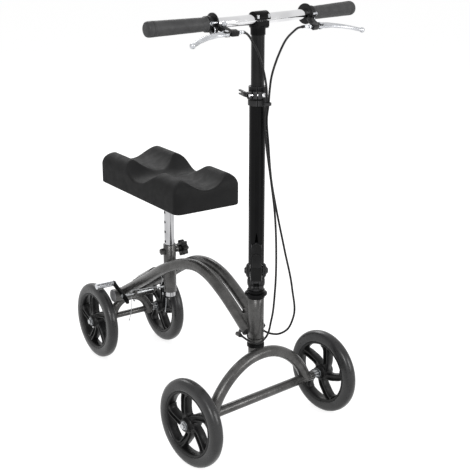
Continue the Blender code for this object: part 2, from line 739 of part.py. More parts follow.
def front_fork():
    span = FRONT_TUBE_LENGTH / 2 - ARCH_INSET
    rise = ARCH_CROWN - WHEEL_RADIUS
    leg = [(span * x, WHEEL_RADIUS + rise * z) for x, z in ARCH_SHARES]
    route = smooth_route(mirrored_route(leg), 2)
    half = FRONT_TUBE_LENGTH / 2
    left = (half, FRONT_OFFSET, WHEEL_RADIUS)
    right = (-half, FRONT_OFFSET, WHEEL_RADIUS)
    arch = rod(STEERING, route, ARCH_RADIUS, 10, ARCH_WALL)
    saddle = cylinder(STEERING, right, left, FRONT_TUBE_RADIUS + GAP)
    part("front_arch", FRAME_PAINT, arch, cut=(saddle,))
    bore = FRONT_TUBE_RADIUS - FRONT_TUBE_WALL
    part("front_axle_tube", FRAME_PAINT, pipe(STEERING, right, left, FRONT_TUBE_RADIUS, bore))
    for side in (-1, 1):
        plug = bore - GAP
        profile = axle_end(plug, half, FRONT_TRACK) + [(plug, half - PLUG_DEPTH), (0, half - PLUG_DEPTH)]
        part("front_axle_" + sided(side), STEEL,
             turned(STEERING, profile, (0, FRONT_OFFSET, WHEEL_RADIUS), (0, side * math.radians(90), 0), 10))
    steerer = [(STEERER_RADIUS, STEERER_TOP), (STEERER_RADIUS, STUB_TOP), (STUB_RADIUS, STUB_TOP),
               (STUB_RADIUS, STUB_BOTTOM), (STEERER_RADIUS - STEERER_WALL, STUB_BOTTOM),
               (STEERER_RADIUS - STEERER_WALL, STEERER_TOP)]
    notch = rod(STEERING, route, ARCH_RADIUS + GAP, 10)
    part("steerer", FRAME_PAINT, turned(STEERING, steerer, ring=True), cut=(notch,))


front_fork()


# Head tube and headset

def headset():
    bore = HEAD_RADIUS - HEAD_WALL
    loose = STEERER_RADIUS + RUN_GAP
    part("head_tube", FRAME_PAINT, pipe(FRAME, (0, 0, HEAD_BOTTOM), (0, 0, HEAD_TOP), HEAD_RADIUS, bore))
    low = HEAD_BOTTOM - GAP - LOWER_CUP_HEIGHT
    high = HEAD_TOP + GAP + UPPER_CUP_HEIGHT
    cup_top = HEAD_BOTTOM - GAP
    part("lower_cup", FRAME_PAINT, pipe(FRAME, (0, 0, low), (0, 0, cup_top), LOWER_CUP_RADIUS, loose))
    upper = pipe(FRAME, (0, 0, HEAD_TOP + GAP), (0, 0, high), UPPER_CUP_RADIUS, loose)
    part("upper_cup", BLACK_PAINT, upper)
    fit = STEERER_RADIUS + GAP
    race = pipe(STEERING, (0, 0, STUB_TOP + GAP), (0, 0, low - GAP), RACE_RADIUS, fit)
    part("lower_race", BLACK_PAINT, race)
    under = high + GAP
    flange = under + LOCKNUT_HEIGHT
    nut = [(RACE_RADIUS, flange + LOCKNUT_NECK), (RACE_RADIUS, flange), (LOCKNUT_RADIUS, flange - PAST),
           (LOCKNUT_RADIUS, under), (fit, under), (fit, flange + LOCKNUT_NECK)]
    part("locknut", BLACK_PAINT, turned(STEERING, nut, ring=True))


headset()


# Fold joint, in the frame whose X axis is the fold's axis

LATCH_FACE = LATCH_OUT - LOWER_RADIUS - LATCH_STAND


def fold_joint():
    inner = KNUCKLE_WIDTH / 2 + RUN_GAP
    outer = inner + EAR_THICKNESS
    top = STEERER_TOP + GAP - FOLD_HEIGHT
    bottom = top - FOLD_BASE_HEIGHT
    pin_hole = cylinder(FOLD_SEAT, (-THROUGH, 0, 0), (THROUGH, 0, 0), PIN_RADIUS + RUN_GAP, 12)
    base = cylinder(FOLD_SEAT, (0, 0, bottom), (0, 0, top), COLLAR_RADIUS)
    ears = []
    for side in (-1, 1):
        foot = bottom + EAR_FOOT
        outline = arc((0, 0), EAR_RADIUS, 0, 180, 7) + [(-EAR_RADIUS, foot), (EAR_RADIUS, foot)]
        ears.append(plate(FOLD_SEAT, outline, EAR_THICKNESS, (side * (inner + outer) / 2, 0, 0), SIDEWAYS))
    hinge = LATCH_HINGE_WIDTH / 2 + RUN_GAP
    lug_z = LATCH_PIVOT_HEIGHT - FOLD_HEIGHT
    lugs = []
    for side in (-1, 1):
        root = (-LATCH_LUG_ROOT[0], lug_z + LATCH_LUG_ROOT[1])
        outline = capsule((-LATCH_OUT, lug_z), root, LATCH_LUG_RADIUS)
        place = (side * (hinge + LATCH_LUG_THICKNESS / 2), 0, 0)
        lugs.append(plate(FOLD_SEAT, outline, LATCH_LUG_THICKNESS, place, SIDEWAYS))
    side = hinge + LATCH_LUG_THICKNESS - LATCH_HINGE_RADIUS / 10
    rivet = cylinder(FOLD_SEAT, (-side, -LATCH_OUT, lug_z), (side, -LATCH_OUT, lug_z), LATCH_PIN_RADIUS, 12)
    clear = cylinder(FOLD_SEAT, (0, 0, bottom - PAST), (0, 0, top), STEERER_RADIUS + GAP)
    eye_room = cylinder(FOLD_SEAT, (-hinge, -LATCH_OUT, lug_z), (hinge, -LATCH_OUT, lug_z),
                        LATCH_HINGE_RADIUS + RUN_GAP)
    back = LATCH_FACE - LATCH_OUT + RUN_GAP
    stem_room = box(FOLD_SEAT, (-hinge, -THROUGH, lug_z), (hinge, back, top + PAST))
    combined(base, cut=(eye_room, stem_room))
    part("fold_base", BLACK_PAINT, base, join=(*ears, *lugs, rivet), cut=(clear, pin_hole))
    reach = outer + GAP
    pin = [(0, reach + PIN_HEAD_HEIGHT), (PIN_HEAD_RADIUS * 0.7, reach + PIN_HEAD_HEIGHT),
           (PIN_HEAD_RADIUS, reach + PIN_HEAD_HEIGHT * 0.6), (PIN_HEAD_RADIUS, reach), (PIN_RADIUS, reach),
           (PIN_RADIUS, -reach), (PIN_HEAD_RADIUS, -reach),
           (PIN_HEAD_RADIUS, -reach - PIN_HEAD_HEIGHT * 0.6),
           (PIN_HEAD_RADIUS * 0.7, -reach - PIN_HEAD_HEIGHT), (0, -reach - PIN_HEAD_HEIGHT)]
    part("fold_bolt", STEEL, turned(FOLD_SEAT, pin, rotation=TO_X, sides=12))


def knuckle():
    disc = cylinder(FOLD, (-KNUCKLE_WIDTH / 2, 0, 0), (KNUCKLE_WIDTH / 2, 0, 0), KNUCKLE_RADIUS, 20)
    seat = LOWER_BOTTOM - GAP - FOLD_HEIGHT
    bore = UPPER_RADIUS + SLIDE_GAP
    shoulder = seat - KNUCKLE_STEP
    plug = seat + KNUCKLE_PLUG
    neck = [(0, plug), (bore - GAP, plug), (bore - GAP, seat), (LOWER_RADIUS, seat),
            (LOWER_RADIUS, shoulder), (KNUCKLE_NECK, shoulder), (KNUCKLE_NECK, 0), (0, 0)]
    hole = cylinder(FOLD, (-THROUGH, 0, 0), (THROUGH, 0, 0), PIN_RADIUS + RUN_GAP, 12)
    part("fold_knuckle", BLACK_PAINT, disc, join=(turned(FOLD, neck),), cut=(hole,))


def latch_lever():
    """Channel-shaped lever that closes against the front of the column."""
    face = LATCH_FACE
    low = STEERER_TOP + 0.0015 - LATCH_PIVOT_HEIGHT
    top = LATCH_TOP - LATCH_PIVOT_HEIGHT
    half = LATCH_WIDTH / 2
    skin = box(LATCH, (-half, face - LATCH_SKIN, low), (half, face, top))
    lip = half - LATCH_LIP_THICKNESS
    sides = [box(LATCH, (min(s * half, s * lip), face - LATCH_SKIN, LATCH_LIP_START),
                 (max(s * half, s * lip), face + LATCH_LIP_DEPTH, top)) for s in (-1, 1)]
    wide, start, end = LATCH_RAISED
    raised = box(LATCH, (-wide, face - LATCH_SKIN - LATCH_LIP_THICKNESS, start), (wide, face - PAST, end))
    width = LATCH_HINGE_WIDTH / 2
    eye = cylinder(LATCH, (-width, 0, 0), (width, 0, 0), LATCH_HINGE_RADIUS, 12)
    stem = box(LATCH, (-width, face - LATCH_SKIN, 0.0), (width, face, low + LATCH_LUG_THICKNESS))
    hole = cylinder(LATCH, (-THROUGH, 0, 0), (THROUGH, 0, 0), LATCH_PIN_RADIUS + RUN_GAP, 12)
    part("fold_latch_lever", BLACK_PAINT, skin, join=(*sides, raised, stem, eye), cut=(hole,))


fold_joint()
knuckle()
latch_lever()


# Column tubes and the height clamp

def column():
    bore = UPPER_RADIUS + SLIDE_GAP
    part("column_lower_tube", BLACK_PAINT,
         pipe(COLUMN, (0, 0, LOWER_BOTTOM), (0, 0, LOWER_TOP), LOWER_RADIUS, bore))
    part("column_upper_tube", BLACK_PAINT,
         pipe(HANDLEBAR, (0, 0, UPPER_BOTTOM), (0, 0, UPPER_TOP), UPPER_RADIUS, UPPER_RADIUS - UPPER_WALL))


def height_clamp():
    step = LOWER_TOP + GAP
    neck = CLAMP_NECK_RADIUS
    lip = CLAMP_LIP_RADIUS
    above = CLAMP_TOP + PAST
    below = CLAMP_BOTTOM - PAST
    outside = [(0, CLAMP_TOP), (neck, CLAMP_TOP), (neck, CLAMP_BOTTOM + CLAMP_LIP + PAST),
               (lip, CLAMP_BOTTOM + CLAMP_LIP), (lip, CLAMP_BOTTOM), (0, CLAMP_BOTTOM)]
    inside = [(0, above), (UPPER_RADIUS + RUN_GAP, above), (UPPER_RADIUS + RUN_GAP, step),
              (LOWER_RADIUS + GAP, step), (LOWER_RADIUS + GAP, below), (0, below)]
    low = CLAMP_BOLT_HEIGHT - CAM_HEIGHT / 2
    high = CLAMP_BOLT_HEIGHT + CAM_HEIGHT / 2
    ear, past_bolt, root = CLAMP_EAR
    ears = box(COLUMN, (-ear, -CLAMP_BOLT_OUT - past_bolt, low), (ear, -root, high))
    slot = box(COLUMN, (-CLAMP_SLOT / 2, -THROUGH, below), (CLAMP_SLOT / 2, -UPPER_RADIUS / 2, above))
    hole = cylinder(COLUMN, (-THROUGH, -CLAMP_BOLT_OUT, CLAMP_BOLT_HEIGHT),
                    (THROUGH, -CLAMP_BOLT_OUT, CLAMP_BOLT_HEIGHT), CLAMP_BOLT_RADIUS + GAP, 12)
    x, y, z = GUIDE_PLACE
    rise = GUIDE_HEIGHT / 2
    guide = cylinder(COLUMN, (x, y, z - rise), (x, y, z + rise), GUIDE_BORE + GUIDE_WALL, 14)
    eye = cylinder(COLUMN, (x, y, z - GUIDE_HEIGHT), (x, y, z + GUIDE_HEIGHT), GUIDE_BORE, 12)
    part("height_collar", BLACK_PAINT, turned(COLUMN, outside), join=(ears, guide),
         cut=(turned(COLUMN, inside), slot, hole, eye))
    face = ear + GAP
    end = face + CLAMP_NUT_HEIGHT
    bolt = [(0, end), (CLAMP_NUT_RADIUS * 0.7, end), (CLAMP_NUT_RADIUS, end - CLAMP_NUT_HEIGHT / 3),
            (CLAMP_NUT_RADIUS, face), (CLAMP_BOLT_RADIUS, face), (CLAMP_BOLT_RADIUS, CAM_OFFSET),
             (0, CAM_OFFSET)]
    shaft = turned(COLUMN, bolt, (0, -CLAMP_BOLT_OUT, CLAMP_BOLT_HEIGHT), TO_X, 12)
    barrel = cylinder(COLUMN, (CAM_OFFSET, -CLAMP_BOLT_OUT, low), (CAM_OFFSET, -CLAMP_BOLT_OUT, high),
                      BARREL_RADIUS, 12)
    part("clamp_bolt", CHROME, shaft, join=(barrel,))


def clamp_lever():
    """Cam lever that wraps the left side of the collar and swings about a vertical pin."""
    half = CAM_HEIGHT / 2 - GAP
    cam = cylinder(CLAMP, (0, 0, -half), (0, 0, half), CAM_RADIUS, 14)
    route = smooth_route(CAM_ARM, 2)
    inner = []
    outer = []
    for i, point in enumerate(route):
        ahead = route[min(i + 1, len(route) - 1)] - route[max(i - 1, 0)]
        across = Vector((-ahead.y, ahead.x, 0)).normalized() * CAM_ARM_HALF
        inner.append((point - across).to_2d())
        outer.append((point + across).to_2d())
    arm = plate(CLAMP, inner + list(reversed(outer)), CAM_ARM_HEIGHT)
    fork = box(CLAMP, *CAM_FORK)
    pin = cylinder(CLAMP, (0, 0, -THROUGH), (0, 0, THROUGH), BARREL_RADIUS + RUN_GAP, 12)
    slot = plate(CLAMP, CAM_SLOT, CAM_SLOT_HEIGHT)
    part("height_clamp_lever", BLACK_PAINT, cam, join=(arm,), cut=(pin, slot, fork))


column()
height_clamp()
clamp_lever()


# Stem and handlebar

def stem():
    seat = UPPER_TOP + GAP
    split = BAR_HEIGHT - STEM_SPLIT
    half = (STEM_WIDTH / 2, STEM_DEPTH / 2)
    base = box(HANDLEBAR, (-half[0], -half[1], STEM_BOTTOM), (half[0], half[1], split), STEM_BEVEL)
    socket = cylinder(HANDLEBAR, (0, 0, STEM_SOCKET_BOTTOM), (0, 0, seat), STEM_SOCKET_RADIUS)
    tube = cylinder(HANDLEBAR, (0, 0, STEM_SOCKET_BOTTOM - PAST), (0, 0, seat), UPPER_RADIUS + GAP)
    trough = cylinder(HANDLEBAR, (-THROUGH, 0, BAR_HEIGHT), (THROUGH, 0, BAR_HEIGHT), BAR_RADIUS + GAP)
    part("stem_base", BLACK_PAINT, base, join=(socket,), cut=(tube, trough))
    cap = box(HANDLEBAR, (-half[0], -half[1], split + GAP), (half[0], half[1], STEM_TOP), STEM_BEVEL)
    part("stem_cap", BLACK_PAINT, cap, cut=(trough,))


def handlebar():
    run = math.cos(BAR_SWEEP)
    rise = math.sin(BAR_SWEEP)
    bend = BAR_RADIUS
    half = [(BAR_BEND - bend, 0.0), (BAR_BEND, rise * bend * 0.4), (BAR_BEND + bend * run, bend * rise),
            (BAR_BEND + BAR_LENGTH * run, BAR_LENGTH * rise)]
    points = [(BAR_SHIFT - x, y, BAR_HEIGHT) for x, y in reversed(half)]
    points += [(BAR_SHIFT + x, y, BAR_HEIGHT) for x, y in half]
    part("handlebar_tube", CHROME, rod(HANDLEBAR, points, BAR_RADIUS, 10, BAR_WALL))


def grip(side):
    frame = BAR_ENDS[side]
    turn = (0, side * math.radians(90), 0)
    near, far = GRIP_ROUNDING
    profile = [(0, GRIP_END), (GRIP_OUTER_RADIUS * 0.72, GRIP_END),
               (GRIP_OUTER_RADIUS * 0.95, GRIP_END - near),
               (GRIP_OUTER_RADIUS, GRIP_END - far), (GRIP_OUTER_RADIUS * 0.975, GRIP_END - GRIP_BULGE),
               (GRIP_INNER_RADIUS, GRIP_START + GRIP_WAIST), (GRIP_INNER_RADIUS, GRIP_START),
               (BAR_RADIUS + GAP, GRIP_START), (BAR_RADIUS + GAP, BAR_LENGTH + GAP), (0, BAR_LENGTH + GAP)]
    part("grip_" + sided(side), GRIP_RUBBER, turned(frame, profile, rotation=turn))


def span(side, low, high):
    """A box across the lever plane, with its outward values given for the left side."""
    x = sorted((side * low[0], side * high[0]))
    return (x[0], -high[1], low[2]), (x[1], -low[1], high[2])


def lever_bracket(side):
    """Clamp round the bar, with the lever's riveted pin and the cable's barrel adjuster."""
    frame = LEVER_PLANES[side]
    half = BRACKET_THICKNESS / 2
    slot = LEVER_THICKNESS / 2 + GAP
    near = side * (LEVER_CLAMP_ALONG - LEVER_CLAMP_WIDTH / 2)
    far = side * (LEVER_CLAMP_ALONG + LEVER_CLAMP_WIDTH / 2)
    clamp = cylinder(frame, (near, 0, 0), (far, 0, 0), LEVER_CLAMP_RADIUS)
    rim = side * FLANGE_THICKNESS / 2
    flange = cylinder(frame, (near - rim, 0, 0), (near + rim, 0, 0), FLANGE_RADIUS, 20)
    over = side * THROUGH / 2
    bar = cylinder(frame, (near - over, 0, 0), (far + over, 0, 0), BAR_RADIUS + GAP, 20)
    eye_out = LEVER_PIVOT_OUT + LEVER_EYE + PAST
    arm_in = LEVER_PIVOT_ALONG - LEVER_EYE - BRACKET_WALL
    arm_out = LEVER_PIVOT_ALONG + LEVER_EYE - PAST
    arm = box(frame, *span(side, (arm_in, BRACKET_ROOT, -half), (arm_out, eye_out, half)))
    boss_end = ADJUSTER_ALONG + GAP
    boss = cylinder(frame, (side * boss_end, -LEVER_PIVOT_OUT, 0),
                    (side * (arm_in + BOSS_SEAT), -LEVER_PIVOT_OUT, 0), half - GAP, 10)
    barrel = cylinder(frame, (side * (boss_end - ADJUSTER_LENGTH), -LEVER_PIVOT_OUT, 0),
                      (side * (boss_end + ADJUSTER_SEAT), -LEVER_PIVOT_OUT, 0), ADJUSTER_RADIUS, 10)
    room = LEVER_PIVOT_OUT - LEVER_EYE - LEVER_SWING_ROOM
    opening = box(frame, *span(side, (arm_in + BRACKET_WALL - 2 * GAP, room, -slot),
                               (arm_out + THROUGH, eye_out + THROUGH, slot)))
    rivet = half + RIVET_HEIGHT
    pin = cylinder(frame, (side * LEVER_PIVOT_ALONG, -LEVER_PIVOT_OUT, -rivet),
                   (side * LEVER_PIVOT_ALONG, -LEVER_PIVOT_OUT, rivet), LEVER_PIN_RADIUS, 8)
    cut_arm = combined(arm, cut=(opening,))
    cuts = [bar]
    if side < 0:
        cuts.append(cylinder(frame, (side * BUTTON_ALONG, -BUTTON_OUT, -THROUGH),
                             (side * BUTTON_ALONG, -BUTTON_OUT, THROUGH), BUTTON_STEM + RUN_GAP, 12))
    pieces = (flange, cut_arm, boss, barrel, pin)
    part("lever_bracket_" + sided(side), BLACK_PAINT, clamp, join=pieces, cut=cuts)


def brake_lever(side):
    """Blade from the pin's eye out to a ball end."""
    tip = (LEVER_REACH * math.cos(LEVER_ANGLE), LEVER_REACH * math.sin(LEVER_ANGLE))
    outline = arc((0, 0), LEVER_EYE, 100, 250, 9)
    outline += [*LEVER_GRIP_EDGE, (tip[0] - 0.50 * LEVER_BALL, tip[1] - 0.66 * LEVER_BALL)]
    outline += [(tip[0] - 0.83 * LEVER_BALL, tip[1] + 0.66 * LEVER_BALL), *LEVER_FRONT_EDGE]
    flat = [(side * along_bar, -out) for along_bar, out in outline]
    blade = plate(LEVERS[side], flat, LEVER_THICKNESS)
    half = LEVER_BALL_HEIGHT / 2
    centre = (side * tip[0], -tip[1])
    ball = cylinder(LEVERS[side], (*centre, -half), (*centre, half), LEVER_BALL, 16)
    pin = cylinder(LEVERS[side], (0, 0, -THROUGH), (0, 0, THROUGH), LEVER_PIN_RADIUS + RUN_GAP, 10)
    part("brake_lever_" + sided(side), ALLOY, blade, join=(ball,), cut=(pin,))


def lock_button():
    """Parking button that slides into the right bracket."""
    seat = BRACKET_THICKNESS / 2 + BUTTON_TRAVEL + GAP
    top = seat + BUTTON_CAP_HEIGHT
    end = BUTTON_TRAVEL - BRACKET_THICKNESS / 2
    profile = [(0, top), (BUTTON_RADIUS - PAST, top), (BUTTON_RADIUS, top - PAST), (BUTTON_RADIUS, seat),
               (BUTTON_STEM, seat), (BUTTON_STEM, end), (0, end)]
    part("lock_button", CHROME, turned(LEVER_PLANES[-1], profile, (-BUTTON_ALONG, -BUTTON_OUT, 0), sides=12))


stem()
handlebar()
for end in (-1, 1):
    grip(end)
    lever_bracket(end)
    brake_lever(end)
lock_button()


# Main frame

TUBE_SEAT_X = SLEEVE_RADIUS + TUBE_RADIUS + GAP


def tube_x(y):
    """Half distance between the two main tubes, which spread round the seat sleeve."""
    return TUBE_NOSE_X + (TUBE_SEAT_X - TUBE_NOSE_X) * blend(TUBE_SPREAD_START, SEAT_Y - SLEEVE_RADIUS, y)


def tube_route(side):
    return smooth_route([(side * tube_x(y), y, z) for y, z in TUBE_ROUTE], 2)


def tube_height(y):
    """Height of the main tubes' centre line at a place along the frame."""
    route = tube_route(1)
    for a, b in zip(route, route[1:]):
        if y <= b.y:
            return a.z + (b.z - a.z) * (y - a.y) / (b.y - a.y)
    return route[-1].z


def across(y, z, half, radius, sides=16):
    """A cylinder along X about the frame's middle plane."""
    return cylinder(FRAME, (-half, y, z), (half, y, z), radius, sides)


def weld_face(side):
    """The tube's shape at mid wall: what is welded on stops there."""
    return rod(FRAME, tube_route(side), TUBE_RADIUS - TUBE_WALL / 2, TUBE_SIDES)


def brake_lug(side):
    """A lug under a main tube, which carries the brake's pivot rod."""
    y, z = BRAKE_PIVOT
    top = tube_height(y)
    outline = capsule((y, z), (y, top), LUG_RADIUS)
    lug = plate(FRAME, outline, LUG_THICKNESS, (side * TUBE_SEAT_X, 0, 0), SIDEWAYS)
    hole = across(y, z, BRAKE_ARM_X, BRAKE_PIN_RADIUS + RUN_GAP, 8)
    above = box(FRAME, (-BRAKE_ARM_X, y - THROUGH, top), (BRAKE_ARM_X, y + THROUGH, top + THROUGH))
    return combined(lug, cut=(hole, above, weld_face(side)))


def cable_stop(side):
    """A stop under the tube's nose, where the housing of a brake cable ends."""
    x, y, z = STOP_PLACE
    boss = cylinder(FRAME, (side * x, y, z), (side * x, y + STOP_LENGTH, z), STOP_RADIUS, 10)
    middle = y + STOP_LENGTH / 2
    stalk = cylinder(FRAME, (side * x, middle, z), (side * TUBE_NOSE_X, middle, tube_height(middle)),
                     STALK_RADIUS, 8)
    return combined(boss, join=(stalk,), cut=(weld_face(side),))


def head_room():
    """The room that the head tube takes from what meets it."""
    return cylinder(FRAME, (0, 0, HEAD_BOTTOM - THROUGH), (0, 0, HEAD_TOP + THROUGH), HEAD_RADIUS + GAP)


def main_tubes():
    for side in (-1, 1):
        beam = across(BEAM_Y, BEAM_HEIGHT, BEAM_LENGTH, BEAM_RADIUS + GAP)
        tube = rod(FRAME, tube_route(side), TUBE_RADIUS, TUBE_SIDES, TUBE_WALL)
        part("main_tube_" + sided(side), FRAME_PAINT, tube, join=(brake_lug(side), cable_stop(side)),
             cut=(head_room(), beam))


def gusset():
    """Web between the two tubes behind the head tube, with a plate over them."""
    (y0, z0), (y1, z1) = TUBE_ROUTE[:2]
    nose = empty("nose", FRAME, (0, y0, z0), (math.atan2(z1 - z0, y1 - y0), 0, 0))
    lift = TUBE_RADIUS + 2 * GAP
    web_half = TUBE_NOSE_X - TUBE_RADIUS - GAP
    web = box(nose, (-web_half, NOSE_START, -0.6 * TUBE_RADIUS),
              (web_half, NOSE_START + 1.4 * GUSSET_LENGTH, lift + GUSSET_THICKNESS / 3))
    top = box(nose, (-TUBE_NOSE_X, NOSE_START, lift),
              (TUBE_NOSE_X, NOSE_START + GUSSET_LENGTH, lift + GUSSET_THICKNESS), GUSSET_THICKNESS / 3)
    part("frame_gusset", FRAME_PAINT, top, join=(web,), cut=(head_room(),))


def rear_bridge():
    """Arched plate over the gap between the tubes, behind the seat sleeve."""
    end = BRIDGE_START + BRIDGE_LENGTH
    slope = math.atan2(tube_height(end) - tube_height(BRIDGE_START), BRIDGE_LENGTH)
    place = (0, BRIDGE_START, tube_height(BRIDGE_START))
    frame = empty("bridge", FRAME, place, (slope, 0, 0))
    lift = TUBE_RADIUS + GAP - BRIDGE_SEAT
    run = BRIDGE_LENGTH / math.cos(slope)
    steps = [i / 8 for i in range(9)]
    rise = lift + BRIDGE_THICKNESS
    top = [(TUBE_SEAT_X * (2 * t - 1), rise + BRIDGE_RISE * math.sin(math.pi * t) ** 2) for t in steps]
    under = [(x, z - BRIDGE_THICKNESS) for x, z in reversed(top)]
    sheet = plate(frame, top + under, run, (0, run / 2, 0), (math.radians(90), 0, 0))
    part("rear_bridge", FRAME_PAINT, sheet)


def rear_end():
    half = BEAM_LENGTH / 2
    bore = BEAM_RADIUS - BEAM_WALL
    part("rear_beam", FRAME_PAINT,
         pipe(FRAME, (-half, BEAM_Y, BEAM_HEIGHT), (half, BEAM_Y, BEAM_HEIGHT), BEAM_RADIUS, bore))
    reach = REAR_ARCH_SPAN / 2
    crown = arc((0, REAR_ARCH_CENTRE), reach, 0, 180, 9)
    leg = REAR_ARCH_CENTRE - REAR_ARCH_LEG
    route = [(reach, leg), *crown, (-reach, leg)]
    arch = rod(FRAME, [(x, REAR_AXLE_Y, z) for x, z in route], REAR_ARCH_RADIUS, 10, REAR_ARCH_WALL)
    beam = across(BEAM_Y, BEAM_HEIGHT, BEAM_LENGTH, BEAM_RADIUS + GAP)
    half = REAR_TUBE_LENGTH / 2
    bore = AXLE_RADIUS + RUN_GAP
    centre = (REAR_AXLE_Y, WHEEL_RADIUS)
    axle = cylinder(FRAME, (-half, *centre), (half, *centre), REAR_TUBE_RADIUS, 12)
    through = across(REAR_AXLE_Y, WHEEL_RADIUS, BEAM_LENGTH, bore, 12)
    part("rear_arch", FRAME_PAINT, arch, join=(axle,), cut=(beam, through))
    outer = axle_end(AXLE_RADIUS, half, REAR_TRACK)
    profile = outer + [(r, -x) for r, x in reversed(outer)]
    part("rear_axle", STEEL, turned(FRAME, profile, (0, REAR_AXLE_Y, WHEEL_RADIUS), TO_X, 10))


main_tubes()
gusset()
rear_bridge()
rear_end()


# Seat: sleeve on the frame, post, plate, pad and the clamping knob

def seat_sleeve():
    bore = POST_RADIUS + SLIDE_GAP
    tube = cylinder(SEAT, (0, 0, SLEEVE_BOTTOM), (0, 0, SLEEVE_TOP), SLEEVE_RADIUS)
    knob_boss = cylinder(SEAT, (POST_RADIUS, 0, KNOB_HEIGHT), (BOSS_OUT, 0, KNOB_HEIGHT), BOSS_RADIUS, 16)
    nut = cylinder(SEAT, (-POST_RADIUS, 0, KNOB_HEIGHT), (-NUT_OUT, 0, KNOB_HEIGHT), BOSS_RADIUS, 16)
    inside = cylinder(SEAT, (0, 0, SLEEVE_BOTTOM - PAST), (0, 0, SLEEVE_TOP + PAST), bore)
    thread = cylinder(SEAT, (0, 0, KNOB_HEIGHT), (THROUGH, 0, KNOB_HEIGHT), KNOB_STUD_RADIUS + RUN_GAP, 12)
    tubes = [rod(FRAME, tube_route(side), TUBE_RADIUS + GAP, TUBE_SIDES) for side in (-1, 1)]
    part("seat_sleeve", FRAME_PAINT, tube, join=(knob_boss, nut), cut=(inside, thread, *tubes))


def seat_post():
    tube = pipe(SEAT, (0, 0, POST_BOTTOM), (0, 0, POST_TOP), POST_RADIUS, POST_RADIUS - POST_WALL)
    heights = [POST_HOLE_TOP - POST_HOLE_PITCH * i for i in range(POST_HOLE_COUNT)]
    holes = [cylinder(SEAT, (-THROUGH, 0, z), (0, 0, z), POST_HOLE_RADIUS, 8) for z in heights]
    part("seat_post", CHROME, tube, cut=holes)


def seat_plate():
    top = PAD_BOTTOM - GAP
    under = top - SEAT_PLATE_THICKNESS
    x, y = SEAT_PLATE_HALF
    sheet = box(SEAT, (-x, -y, under), (x, y, top), SEAT_PLATE_THICKNESS / 4)
    socket = cylinder(SEAT, (0, 0, under - SEAT_SOCKET_DEPTH), (0, 0, under + PAST), SEAT_SOCKET_RADIUS)
    below = under - SEAT_SOCKET_DEPTH - PAST
    hole = cylinder(SEAT, (0, 0, below), (0, 0, POST_TOP + GAP), POST_RADIUS + GAP)
    part("seat_plate", BLACK_PAINT, sheet, join=(socket,), cut=(hole,))


def bow(distance, radius):
    """Drop of a quarter round at a distance inside its outer edge."""
    inset = max(radius - distance, 0.0)
    return radius - math.sqrt(radius * radius - inset * inset)


def pad_end(y):
    """Distance from a place along the pad to its nearer end."""
    return min(y + PAD_AHEAD, PAD_LENGTH - PAD_AHEAD - y)


def pad_top(x, y):
    """Height of the moulded top: a cradle along it and a trough across it, under a rounded crown."""
    cradle = PAD_CRADLE_HEIGHT + (PAD_CREST_HEIGHT - PAD_CRADLE_HEIGHT) * (abs(x) / PAD_CREST_X) ** 2
    reach, power = (PAD_TROUGH_REAR, PAD_REAR_POWER) if y > 0 else (PAD_TROUGH_FRONT, PAD_FRONT_POWER)
    trough = PAD_TROUGH_HEIGHT + (PAD_CREST_HEIGHT - PAD_TROUGH_HEIGHT) * (abs(y) / reach) ** power
    drop = math.hypot(bow(PAD_HALF_WIDTH - abs(x), PAD_ROUND), bow(pad_end(y), PAD_ROUND))
    return min(cradle, trough, PAD_CREST_HEIGHT - drop)


def pad_section(y):
    """Outline of the pad across the walker at a place along it."""
    half = PAD_HALF_WIDTH - bow(pad_end(y), PAD_CORNER)
    section = [(-half + PAD_FOOT / 2, 0.0), (-half, PAD_FOOT)]
    right = [-half * share for share in (1.0, 0.97, 0.88, 0.76, 0.63, 0.48, 0.32, 0.16)]
    left = [-x for x in reversed(right)]
    section += [(x, pad_top(x, y)) for x in [*right, 0.0, *left]]
    return section + [(half, PAD_FOOT), (half - PAD_FOOT / 2, 0.0)]


def seat_pad():
    """Moulded cushion: a loft of sections along its length."""
    front = [PAD_FOOT * share for share in (0, 0.5, 2, 5, 10)]
    front += [PAD_AHEAD - PAD_TROUGH_FRONT * share for share in (1.3, 1.0, 0.8, 0.6, 0.35, 0.1)]
    rear = [PAD_AHEAD + PAD_TROUGH_REAR * share for share in (0.15, 0.4, 0.6, 0.75, 0.9, 1.0, 1.5)]
    rear += [PAD_LENGTH - PAD_FOOT * share for share in (10, 5, 2, 0.5, 0)]
    bm = bmesh.new()
    sections = []
    for run in front + rear:
        y = run - PAD_AHEAD
        sections.append([bm.verts.new((x, y, PAD_BOTTOM + z)) for x, z in pad_section(y)])
    for first, second in zip(sections, sections[1:]):
        for j in range(len(first)):
            k = (j + 1) % len(first)
            bm.faces.new((first[j], first[k], second[k], second[j]))
    bm.faces.new(list(reversed(sections[0])))
    bm.faces.new(sections[-1])
    bmesh.ops.recalc_face_normals(bm, faces=bm.faces)
    part("seat_pad", PAD_SKIN, shape(mesh_from(bm), SEAT))


